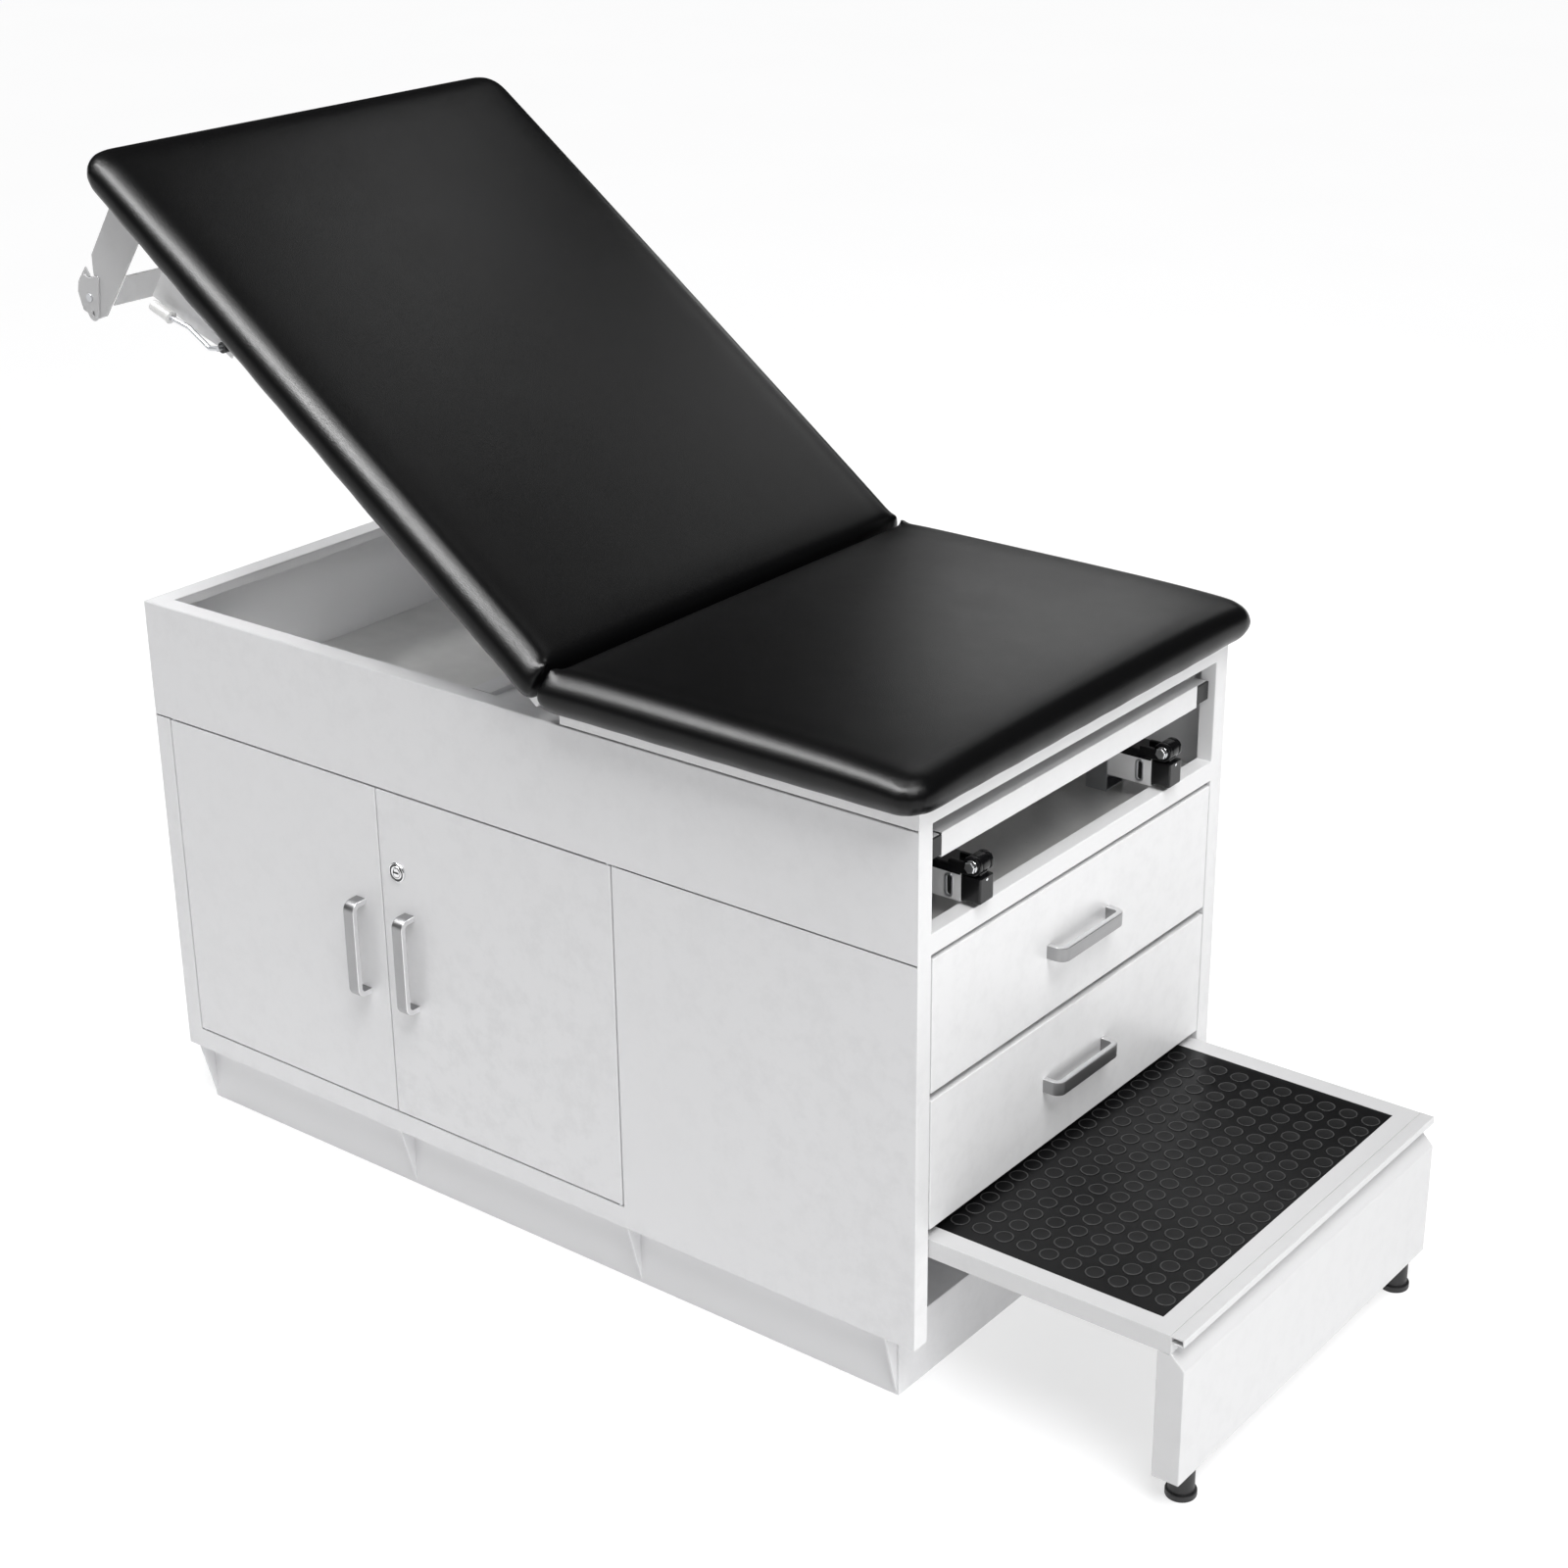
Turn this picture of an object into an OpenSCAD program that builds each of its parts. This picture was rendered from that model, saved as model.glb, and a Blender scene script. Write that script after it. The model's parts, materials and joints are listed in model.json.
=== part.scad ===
// Medical examination table: steel cabinet on a recessed plinth, two-section padded top,
// doors, drawers, pull-out step, pull-out leg rest and two stirrup arms.
// X runs from the head end to the foot end, -Y is the door side, Z is up.
// The origin lies on the floor under the middle of the cabinet.

/* [Cabinet] */
// Length of the cabinet
cab_l = 1260; // [1200:10:1320]
// Width of the cabinet
cab_w = 660; // [640:10:700]
// Height of the cabinet's top edge above the floor
cab_top = 755; // [745:1:775]
// Height of the plinth
plinth_h = 93; // [80:1:100]
// Set-back of the plinth under the long sides
plinth_in = 25; // [20:1:30]
// Sheet steel thickness
sheet = 1.5; // [1:0.1:2]
// Height of the shelf that floors the head tray and the stirrup bay
shelf_z = 604; // [600:1:608]

/* [Padded top] */
// Angle of the backrest as built, from flat
back_angle = 36.5; // [0:0.5:45]
// Length of the backrest pad
back_l = 916; // [860:1:930]
// Width of both pads
pad_w = 744; // [700:2:760]
// Thickness of the pads at their edges
pad_t = 55; // [45:1:60]
// Rise of the pads' middle above their edges
pad_crown = 8; // [0:1:12]
// Overhang of the seat pad past the foot end
seat_over = 28; // [10:1:35]

/* [Foot end] */
// Width of the face frame's posts
post_w = 26; // [22:1:32]
// Height of each drawer front
drawer_h = 169; // [160:1:170]
// Reach of the step when it is pulled out
step_out = 340; // [300:10:340]
// Height of the step's tread
step_z = 232; // [225:1:235]
// Diameter of the round studs of the step mat
stud_d = 24; // [16:1:26]
// Pitch of the studs
stud_pitch = 30.7; // [28:0.1:34]
// Distance from the table's centre line to each stirrup arm
stirrup_y = 204.5; // [190:0.5:215]

/* [Handles] */
// Overall length of a handle
handle_l = 137; // [110:1:150]
// Width of the handle's strap
handle_w = 18; // [12:1:20]
// Stand-off of the handle
handle_out = 25; // [20:1:30]

/* [Hidden] */
$fn = 48;
white = "#e9eaec";
grey_white = "#cfd0d2";
black = "#17171a";
steel = "#b9bcc0";
plywood = "#b98f5f";

// cabinet
hl = cab_l / 2;
hw = cab_w / 2;
hi = hw - sheet;              // inside of the long walls
li = hl - sheet;              // inside of the end walls
flange_y = hw - 27;           // inner edge of the top flanges
flange_x = 30;                // width of the head end's top flange
plinth_y = hw - plinth_in;
plinth_head = -hl + 15;
plinth_foot = hl - 40;
gusset_x = [-hl + 20, -212, 188, hl - 43];
seam_z = 593;                 // seam between the upper and lower panels
door_x0 = -603;               // door opening
door_x1 = 184;
door_z0 = 122;
door_split = -212;
door_gap = 2.3;
door_t = 18;
bulkhead_x = door_x1 + 4.5;
pivot_in = 4.5;               // door pivot's distance from the door's edge and face
pivot_r = 2;
fit = 0.06;                   // radial clearance of a running fit

// foot end
open_y = hw - post_w;
frame_d = 22;
bay_z0 = 624;
bay_z1 = 757;
drawer_top = 592;
drawer_gap = 10;
rail_z0 = 598;
front_t = 18;

// top
platform_z = cab_top + 1.5;
pad_z = platform_z + 22;
hinge_x = 92;
hinge_z = platform_z + 10.5;
hinge_ys = [-235, 235];
hinge_r = 4;
pad_gap = 11.5;               // from the hinge axis to each pad
seat_x0 = hinge_x + pad_gap;
seat_x1 = hl + seat_over;
board_in = 45;
board_t = 9.5;
edge_r = pad_t / 2;
corner_r = 42;

// strut
strut_foot = [40, 0, 650];
strut_s = 240;
strut_drop = 30;
strut_head_flat = [hinge_x - strut_s, 0, pad_z - strut_drop];
strut_pin_r = 4;
cylinder_l = 190;
piston_at = 130;
strut_slack = 4.6;            // play of the open eye at the strut's head
function raise(p) = [
    hinge_x + (p[0] - hinge_x) * cos(back_angle) + (p[2] - hinge_z) * sin(back_angle),
    p[1],
    hinge_z - (p[0] - hinge_x) * sin(back_angle) + (p[2] - hinge_z) * cos(back_angle)];
strut_head = raise(strut_head_flat);
strut_vec = strut_head - strut_foot;
strut_len = norm(strut_vec);
strut_tilt = atan2(strut_vec[0], strut_vec[2]);

// roll holder and lever, measured from the hinge along the back (s) and below the pad
roll_y = 323;
roll_s = 848;
roll_drop = 156;
lever_y = -352;
lever_s = 619;
lever_drop = 13;
lever_r = 3.25;

// step
step_y = 302.5;
tread_in = 275;
rail_h = 25;
step_x1 = hl + step_out - 20;  // crease between the frame and the apron
step_x0 = step_x1 - 412;
tread_x1 = step_x1 - 25;
apron_x = hl + step_out;
foot_pos = [apron_x - 18, 263];

// leg rest and stirrups
bar_x1 = hl - 9;
leg_y = [274, 302];
leg_z = [707, 731];
arm_w = 35;
arm_z = [626, 663];
arm_x1 = hl - 19;
arm_x0 = 180;
knuckle = [hl - 3, 675];
knuckle_r = 12;
knuckle_y = [-20, 8];         // its width, from the middle of the arm
ear_t = 6;

// ---------- helpers ----------
module block(a, b) {
    translate([min(a[0], b[0]), min(a[1], b[1]), min(a[2], b[2])])
        cube([abs(b[0] - a[0]), abs(b[1] - a[1]), abs(b[2] - a[2])]);
}

module raised() {
    translate([hinge_x, 0, hinge_z]) rotate([0, back_angle, 0])
        translate([-hinge_x, 0, -hinge_z]) children();
}

module both_sides() {
    children();
    mirror([0, 1, 0]) children();
}

// round bar along Y
module bar_y(x, y0, y1, z, r) {
    translate([x, min(y0, y1), z]) rotate([-90, 0, 0]) cylinder(r = r, h = abs(y1 - y0));
}

// plate in the XZ plane from y0 to y1
module plate_xz(points, y0, y1) {
    translate([0, max(y0, y1), 0]) rotate([90, 0, 0])
        linear_extrude(abs(y1 - y0)) polygon(points);
}

// round bar between two points
module rod(p, q, r) {
    v = q - p;
    translate(p) rotate([0, acos(v[2] / norm(v)), atan2(v[1], v[0])])
        cylinder(r = r, h = norm(v));
}

// long bow handle standing on the plane y = 0, along Z, towards -Y
module bow_handle() {
    t = 8;
    translate([-handle_w / 2, 0, -handle_l / 2]) rotate([90, 0, 90])
        linear_extrude(handle_w) difference() {
            offset(13) offset(-13) union() {
                translate([-handle_out, 0]) square([handle_out, handle_l]);
                translate([0, -20]) square([20, handle_l + 40]);
            }
            translate([0, -30]) square([30, handle_l + 60]);
            offset(5) offset(-5) translate([-handle_out + t, t])
                square([handle_out + 10, handle_l - 2 * t]);
        }
}

// pad from x0 (hinge end, bevelled) to x1, bottom at z = 0
module pad(x0, x1) {
    y = pad_w / 2;
    bevel = 0.3 * (pad_t + pad_z - hinge_z);
    difference() {
        hull() {
            for (sy = [-1, 1]) {
                translate([x1 - corner_r, sy * (y - corner_r), edge_r]) bead();
                translate([x0 + bevel + corner_r - 12, sy * (y - corner_r), edge_r]) bead();
                translate([x0 + 12, sy * (y - 34), 12]) sphere(r = 12, $fn = 24);
            }
            translate([x0 + 150, -y + 150, pad_t])
                cube([x1 - x0 - 300, pad_w - 300, pad_crown]);
        }
        translate([x0 + board_in - 10, -y + board_in, -1])
            cube([x1 - x0 - 2 * board_in + 10, pad_w - 2 * board_in, board_t + 1]);
    }
}

// rounded corner of a pad
module bead() {
    rotate_extrude($fn = 32) translate([corner_r - edge_r, 0])
        intersection() {
            circle(r = edge_r, $fn = 32);
            translate([edge_r - corner_r, -edge_r]) square([corner_r, pad_t]);
        }
}

module pad_board(x0, x1) {
    translate([x0 + board_in - 10, -pad_w / 2 + board_in, 0])
        cube([x1 - x0 - 2 * board_in + 10, pad_w - 2 * board_in, board_t]);
}

// ---------- cabinet ----------
module plinth() {
    lip = 20;
    color(grey_white) union() {
        difference() {
            block([plinth_head, -plinth_y, 0], [plinth_foot, plinth_y, plinth_h]);
            block([plinth_head + sheet, -plinth_y + sheet, sheet],
                [plinth_foot - sheet, plinth_y - sheet, plinth_h - sheet]);
            block([plinth_head + lip, -plinth_y + lip, -1],
                [plinth_foot - lip, plinth_y - lip, plinth_h + 1]);
        }
        for (x = gusset_x) both_sides()
            translate([x, -plinth_y, 0]) rotate([90, 0, -90])
                linear_extrude(3) polygon([[0, 3], [0, plinth_h], [plinth_in - 2, plinth_h]]);
    }
}

module near_lower_face() {
    color(grey_white) difference() {
        union() {
            block([-li, -hw, plinth_h], [li, -hi, seam_z - 0.75]);
            block([door_x0 - sheet, -hi, plinth_h + 3], [door_x1 + sheet, -hw + 25, seam_z - 0.75]);
        }
        block([door_x0, -hw - 1, door_z0], [door_x1, -hw + 30, seam_z]);
        block([door_x0 - 5, -hi, plinth_h], [door_x1 + 5, -hw + 30, door_z0 - sheet]);
    }
}

// flange along the top of a long side, turned in and down
module top_flange() {
    x1 = hl - frame_d;
    block([-hl + flange_x, -hi, cab_top - sheet], [x1, -flange_y, cab_top]);
    block([-hl + flange_x + 2, -flange_y - sheet, cab_top - 14], [x1, -flange_y, cab_top]);
}

module near_upper_panel() {
    color(grey_white) {
        block([-li, -hw, seam_z + 0.75], [li, -hi, cab_top]);
        top_flange();
        block([-li, -hi, seam_z + 0.75], [li, -hw + 20, seam_z + 0.75 + sheet]);
    }
}

module far_side_panel() {
    color(grey_white) mirror([0, 1, 0]) {
        block([-li, -hw, plinth_h], [li, -hi, cab_top]);
        top_flange();
    }
}

module head_end_panel() {
    color(grey_white) {
        block([-hl, -hw, plinth_h], [-li, hw, cab_top]);
        block([-li, -hi, cab_top - sheet], [-hl + flange_x, hi, cab_top]);
        block([-hl + flange_x - sheet, -flange_y, cab_top - 14], [-hl + flange_x, flange_y, cab_top]);
    }
}

module foot_frame() {
    x0 = hl - frame_d;
    color(white) {
        difference() {
            block([li, -hw, plinth_h], [hl, hw, pad_z]);
            block([li - 1, -open_y, bay_z0], [hl + 1, open_y, bay_z1]);
            block([li - 1, -open_y, plinth_h - 1], [hl + 1, open_y, rail_z0]);
        }
        both_sides() block([x0, -open_y - sheet, plinth_h], [li, -open_y, bay_z1]);
        block([x0, -open_y, bay_z0 - sheet], [li, open_y, bay_z0]);
        block([x0, -open_y, bay_z0 - 14], [x0 + sheet, open_y, bay_z0]);
        block([x0, -open_y, rail_z0], [li, open_y, rail_z0 + sheet]);
        block([x0, -open_y - sheet, bay_z1], [li, open_y + sheet, bay_z1 + sheet]);
    }
}

module base_pan() {
    color(grey_white) block([-li, -hi, plinth_h], [plinth_foot, hi, plinth_h + sheet]);
}

module cupboard_floor() {
    z = plinth_h + sheet;
    color(grey_white) {
        block([-li, -hw + 25, door_z0 - sheet], [door_x1, hi, door_z0]);
        block([door_x1 - sheet, -hw + 25, z], [door_x1, hi, door_z0]);
        block([door_split - sheet, -hw + 25, z], [door_split, hi, door_z0]);
    }
}

module middle_shelf() {
    color(grey_white) block([-li, -hi, shelf_z - sheet], [hl - frame_d - 0.5, hi, shelf_z]);
}

// its upper near corner is cut away for the upper panel's return
module bulkhead() {
    color(grey_white) difference() {
        block([bulkhead_x, -hi, plinth_h + sheet], [bulkhead_x + sheet, hi, shelf_z - sheet]);
        block([bulkhead_x - 1, -hw, seam_z + 0.75], [bulkhead_x + 3, -hw + 20, shelf_z]);
    }
}

// beam across the cabinet that carries the hinges, with a sunk deck behind it
module hinge_deck() {
    y = flange_y - 0.5;
    x0 = -57;
    x1 = -27;
    x2 = hinge_x + 35;
    deck_z = hinge_z - 18.5;
    color(grey_white) difference() {
        union() {
            block([x0, -y, shelf_z], [x0 + sheet, y, cab_top]);
            block([x0, -y, cab_top - sheet], [x1, y, cab_top]);
            block([x1 - sheet, -y, deck_z - sheet], [x1, y, cab_top]);
            block([x1 - sheet, -y, deck_z - sheet], [x2, y, deck_z]);
            block([x2 - sheet, -y, shelf_z], [x2, y, deck_z]);
        }
        block([x0 - 5, -32, strut_foot[2] + 4], [strut_foot[0], 32, cab_top + 5]);
    }
}

module seat_platform() {
    color(white) difference() {
        block([hinge_x + 19, -hw, platform_z], [li, hw, pad_z]);
        block([hinge_x + 19 + sheet, -hi, platform_z - 1], [li + 1, hi, pad_z - sheet]);
    }
}

module seat_board() {
    color(plywood) translate([0, 0, pad_z]) pad_board(seat_x0, seat_x1);
}

module seat_cushion() {
    color(black) translate([0, 0, pad_z]) pad(seat_x0, seat_x1);
}

// U bracket standing on z0 with a bore of radius r at height z
module clevis(x, y, z0, z, r) {
    difference() {
        union() {
            block([x - 18, y - 22, z0], [x + 18, y + 22, z0 + 2]);
            for (s = [-1, 1]) {
                block([x - 9, y + s * 11, z0], [x + 9, y + s * 14, z]);
                bar_y(x, y + s * 11, y + s * 14, z, 9);
            }
        }
        bar_y(x, y - 20, y + 20, z, r);
    }
}

module hinge_brackets() {
    color(steel) {
        for (y = hinge_ys) clevis(hinge_x, y, hinge_z - 18.5, hinge_z, hinge_r);
        clevis(strut_foot[0], 0, shelf_z, strut_foot[2], strut_pin_r);
    }
}

module hinge_pins() {
    color(steel) {
        for (y = hinge_ys) {
            bar_y(hinge_x, y - 14, y + 14, hinge_z, hinge_r);
            for (s = [-1, 1]) bar_y(hinge_x, y + s * 14, y + s * 16.5, hinge_z, 6);
        }
        bar_y(strut_foot[0], -14, 14, strut_foot[2], strut_pin_r);
        for (s = [-1, 1]) bar_y(strut_foot[0], s * 14, s * 16.5, strut_foot[2], 6);
    }
}

// C rail open towards the middle, its web at y, held off the wall by tabs
module c_rail(x0, x1, y, depth, z0, z1) {
    both_sides() {
        block([x0, -y, z0 - sheet], [x1, -y + sheet, z1 + sheet]);
        block([x0, -y, z0 - sheet], [x1, -y + depth, z0]);
        block([x0, -y, z1], [x1, -y + depth, z1 + sheet]);
        for (k = [0.1, 0.5, 0.9]) translate([x0 + k * (x1 - x0), 0, 0])
            block([-8, -hi, (z0 + z1) / 2 - 8], [8, -y, (z0 + z1) / 2 + 8]);
    }
}

function drawer_z0(k) = drawer_top - (k + 1) * drawer_h - k * drawer_gap;
function slide_z(k) = drawer_z0(k) + 60;

module drawer_slides() {
    color(steel) for (k = [0, 1])
        c_rail(bulkhead_x + 14, hl - 28, 300, 14, slide_z(k) - 16, slide_z(k) + 16);
}

module step_guides() {
    z = step_z - rail_h / 2;
    color(steel) c_rail(bulkhead_x + 8, hl - 28, 314, 10, z - 12, z + 12);
}

module leg_rest_guides() {
    x1 = hl - 30;
    z1 = leg_z[1] + 0.5 + sheet;
    color(white) {
        c_rail(150, x1, leg_y[1] + 3, 20, leg_z[0] - 0.5, leg_z[1] + 0.5);
        both_sides() {
            block([x1 - 34, -leg_y[1], z1], [x1 - 32, -leg_y[1] + 17, z1 + 14]);
            block([x1 - 34, -leg_y[1], z1 + 12], [x1 - 4, -leg_y[1] + 17, z1 + 14]);
            translate([x1 - 18, -leg_y[1] + 8, z1 + 14]) cylinder(r1 = 4.5, r2 = 3, h = 2);
        }
    }
}

module stirrup_guides() {
    g = 0.5;
    t = 2;
    w = arm_w / 2;
    color(steel) both_sides() for (x = [440, 520]) translate([x, -stirrup_y, 0]) difference() {
        block([0, -w - g - t, shelf_z], [30, w + g + t, arm_z[1] + g + t]);
        block([-1, -w - g, arm_z[0] - g], [31, w + g, arm_z[1] + g]);
        block([-1, -w - g, shelf_z + t], [31, w + g, arm_z[0] - g - t]);
    }
}

module pivot_pair(x) {
    for (z = [[door_z0, 1], [seam_z + 0.75, -1]]) translate([x, -hw + pivot_in, z[0]])
        mirror([0, 0, z[1] > 0 ? 0 : 1]) {
            cylinder(r = pivot_r, h = 16);
            cylinder(r = 3.5, h = door_gap - 0.3);
        }
}

module door_pivots() {
    color(steel) {
        pivot_pair(door_x0 + door_gap + pivot_in);
        pivot_pair(door_x1 - door_gap - pivot_in);
    }
}

// ---------- backrest, drawn flat and raised ----------
back_x0 = hinge_x - 16;            // hinge end of the platform
back_x1 = hinge_x - 890;

module back_platform() {
    plate_s = [606, 753, 753, 668, 632, 606];
    plate_d = [1.5, 1.5, 57, 38, 26, 22];
    color(white) raised() difference() {
        union() {
            difference() {
                block([back_x1, -hw + 3, platform_z], [back_x0, hw - 3, pad_z]);
                block([back_x1 + sheet, -hw + 3 + sheet, platform_z - 1],
                    [back_x0 - sheet, hw - 3 - sheet, pad_z - sheet]);
            }
            both_sides()
                block([back_x1 + sheet, 120, platform_z + 2], [back_x0 - sheet, 121.5, pad_z - sheet]);
            for (y = hinge_ys) {
                block([back_x0 - 1, y - 9, hinge_z - 7], [hinge_x, y + 9, hinge_z + 7]);
                bar_y(hinge_x, y - 9, y + 9, hinge_z, 9);
            }
            both_sides() block([strut_head_flat[0] - 14, 15, strut_head_flat[2] - 10],
                [strut_head_flat[0] + 14, 18, pad_z - sheet]);
            plate_xz([for (i = [0:5]) [hinge_x - plate_s[i], pad_z - plate_d[i]]],
                lever_y + 14, lever_y + 15.5);
            block([hinge_x - 753, lever_y + 15, pad_z - 3], [hinge_x - 606, -hw + 3.5, pad_z - 1.5]);
        }
        for (y = hinge_ys) bar_y(hinge_x, y - 20, y + 20, hinge_z, hinge_r + fit);
        bar_y(strut_head_flat[0], -30, 30, strut_head_flat[2], strut_pin_r);
        bar_y(hinge_x - lever_s, lever_y, -100, pad_z - lever_drop, 5);
    }
}

module back_board() {
    color(plywood) raised() translate([hinge_x, 0, pad_z]) mirror([1, 0, 0]) pad_board(pad_gap, 6 + back_l);
}

module back_cushion() {
    color(black) raised() translate([hinge_x, 0, pad_z]) mirror([1, 0, 0]) pad(pad_gap, 6 + back_l);
}

module roll_brackets() {
    s = [814, 878, 875, 862, 856, 865, 877, 878, 872, 852, 826, 814];
    d = [1.5, 1.5, 106, 124, 130, 133, 129, 156, 169, 183, 175, 157];
    color(white) raised() both_sides()
        plate_xz([for (i = [0:len(s) - 1]) [hinge_x - s[i], pad_z - d[i]]], roll_y, roll_y + 2.4);
}

module roll_crossbar() {
    color(white) raised()
        block([hinge_x - 812, -roll_y - 2.4, pad_z - 135],
            [hinge_x - 810.3, roll_y + 2.4, pad_z - 82]);
}

// riveted keeper over the outside of each hook
module roll_latches() {
    x = hinge_x - roll_s;
    z = pad_z - roll_drop;
    color(grey_white) raised() both_sides() difference() {
        translate([x, -roll_y - 2.4, z]) rotate([90, 0, 0]) linear_extrude(3) difference() {
            hull() {
                translate([-6, 4]) circle(r = 20);
                translate([15, -14]) circle(r = 10);
                translate([-22, 14]) circle(r = 5);
                translate([-2, 30]) circle(r = 4);
            }
            translate([-23, 34]) circle(r = 15);
        }
        bar_y(x, -roll_y - 10, -roll_y + 5, z, 3);
        bar_y(x + 15, -roll_y - 10, -roll_y + 5, z - 14, 3.2);
    }
}

module back_pins() {
    x = hinge_x - roll_s;
    z = pad_z - roll_drop;
    color(steel) raised() {
        both_sides() {
            bar_y(x, -roll_y - 5.4, -roll_y - 2.4, z, 3);
            bar_y(x, -roll_y - 7, -roll_y - 5.4, z, 5.5);
        }
        bar_y(strut_head_flat[0], -18, 18, strut_head_flat[2], strut_pin_r);
        for (s = [-1, 1]) bar_y(strut_head_flat[0], s * 18, s * 20.5, strut_head_flat[2], 6);
    }
}

module lever_bushes() {
    x = hinge_x - lever_s;
    z = pad_z - lever_drop;
    color(black) raised() difference() {
        union() {
            bar_y(x, lever_y + 4, lever_y + 14, z, 7);
            bar_y(x, -120, -110, z, 7);
        }
        bar_y(x, lever_y - 10, -100, z, lever_r + fit);
    }
}

lever_path = [[lever_s, lever_drop], [632, 25], [672, 29], [700, 41], [730, 50]];
function lever_point(i) = [hinge_x - lever_path[i][0], lever_y, pad_z - lever_path[i][1]];

module release_lever() {
    last = len(lever_path) - 1;
    color(steel) raised() {
        bar_y(lever_point(0)[0], lever_y - 3, -105, lever_point(0)[2], lever_r);
        for (i = [0:last - 1]) hull() {
            translate(lever_point(i)) sphere(r = lever_r - 0.1, $fn = 16);
            translate(lever_point(i + 1)) sphere(r = lever_r - 0.1, $fn = 16);
        }
    }
}

module lever_sleeve() {
    a = lever_point(3);
    b = lever_point(4);
    u = (b - a) / norm(b - a);
    color("white") raised() difference() {
        union() {
            rod(a + u * 2, b + u * 5, 7.5);
            rod(a + u * 2, a + u * 5, 8.5);
        }
        rod(a - u, b + u * 3.3, lever_r);
    }
}

// ---------- gas strut ----------
module along_strut() {
    translate(strut_foot) rotate([0, strut_tilt, 0]) children();
}

module gas_cylinder() {
    color("#2a2b2e") along_strut() difference() {
        union() {
            translate([0, 0, 14]) cylinder(r = 10, h = cylinder_l - 14);
            cylinder(r = 5, h = 20);
            bar_y(0, -8, 8, 0, 9);
        }
        translate([0, 0, 24]) cylinder(r = 8, h = cylinder_l - 30);
        translate([0, 0, cylinder_l - 20]) cylinder(r = 4 + fit, h = 30);
        bar_y(0, -12, 12, 0, strut_pin_r + fit);
    }
}

module gas_rod() {
    eye = strut_pin_r + strut_slack;
    color(steel) along_strut() difference() {
        union() {
            translate([0, 0, piston_at]) cylinder(r = 4, h = strut_len - piston_at - eye - 1);
            translate([0, 0, piston_at]) cylinder(r = 7.5, h = 8);
            translate([0, 0, strut_len]) bar_y(0, -9, 9, 0, eye + 4);
        }
        translate([0, 0, strut_len]) bar_y(0, -12, 12, 0, eye);
    }
}

// ---------- doors ----------
// pan-shaped door from x0 to x1, its pivot at the x0 side when hinge is 0
module door(x0, x1, pivot_x, lock_x) {
    z0 = door_z0 + door_gap;
    z1 = seam_z + 0.75 - door_gap;
    y1 = -hw + door_t;
    color(grey_white) difference() {
        union() {
            difference() {
                block([x0, -hw, z0], [x1, y1, z1]);
                block([x0 + sheet, -hw + sheet, z0 + sheet], [x1 - sheet, y1 + 1, z1 - sheet]);
            }
            for (z = [z0, z1 - 18])
                block([pivot_x - pivot_in, -hw, z], [pivot_x + pivot_in, -hw + 11, z + 18]);
            block([x0, -hw, (z0 + z1) / 2 - 0.75], [x1, y1 - 2, (z0 + z1) / 2 + 0.75]);
        }
        for (z = [z0 - 1, z1 - 15])
            translate([pivot_x, -hw + pivot_in, z]) cylinder(r = pivot_r + fit, h = 16);
        if (lock_x != 0) bar_y(lock_x, -hw - 1, -hw + 5, 483, 9.5);
    }
}

module left_door() {
    door(door_x0 + door_gap, door_split - 1.1, door_x0 + door_gap + pivot_in, 0);
}

module right_door() {
    door(door_split + 1.1, door_x1 - door_gap, door_x1 - door_gap - pivot_in, lock_c[0]);
}

lock_c = [-181, 483];
handle_z = 359;

module left_door_handle() {
    color(steel) translate([door_split - 41, -hw, handle_z]) bow_handle();
}

module right_door_handle() {
    color(steel) translate([door_split + 47, -hw, handle_z]) bow_handle();
}

module lock_body() {
    color(steel) difference() {
        union() {
            bar_y(lock_c[0], -hw - 3, -hw, lock_c[1], 13.5);
            bar_y(lock_c[0], -hw, -hw + 16, lock_c[1], 9.5);
        }
        bar_y(lock_c[0], -hw - 4, -hw + 20, lock_c[1], 6.5 + fit);
    }
}

module lock_cylinder() {
    y = -hw + 18;
    color(steel) {
        difference() {
            bar_y(lock_c[0], -hw - 3.5, y + 3, lock_c[1], 6.5);
            block([lock_c[0] - 4.5, -hw - 5, lock_c[1] - 0.9], [lock_c[0] + 4.5, -hw + 8, lock_c[1] + 0.9]);
        }
        difference() {
            block([lock_c[0] - 7, y + 0.5, lock_c[1] - 40], [lock_c[0] + 7, y + 2.5, lock_c[1] + 8]);
            bar_y(lock_c[0], y - 1, y + 5, lock_c[1], 6.4);
        }
    }
}

// ---------- drawers ----------
module drawer_front(k) {
    z = drawer_z0(k);
    y = open_y - 2;
    color(white) difference() {
        block([hl - front_t, -y, z], [hl, y, z + drawer_h]);
        block([hl - front_t - 1, -y + sheet, z + sheet], [hl - sheet, y - sheet, z + drawer_h - sheet]);
        }
}

module drawer_box(k) {
    z = drawer_z0(k) + 18;
    h = drawer_h - 32;
    x0 = bulkhead_x + 11;
    x1 = hl - front_t;
    y = 283;
    color(grey_white) difference() {
        union() {
            block([x0, -y, z], [x1, y, z + h]);
            both_sides() {
                block([x0, y, slide_z(k) - 6], [x1, y + 2, slide_z(k) + 6]);
                bar_y(x0 + 28, y, y + 10, slide_z(k), 15.4);
            }
            block([x1, -open_y + 5, drawer_z0(k) + 4],
                [x1 + sheet, open_y - 5, drawer_z0(k) + drawer_h - 4]);
        }
        block([x0 + sheet, -y + sheet, z + sheet], [x1 - sheet, y - sheet, z + h + 1]);
    }
}

module drawer_handle(k) {
    color(steel) translate([hl, 0, drawer_z0(k) + drawer_h / 2])
        rotate([0, 0, 90]) rotate([0, 90, 0]) bow_handle();
}

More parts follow.
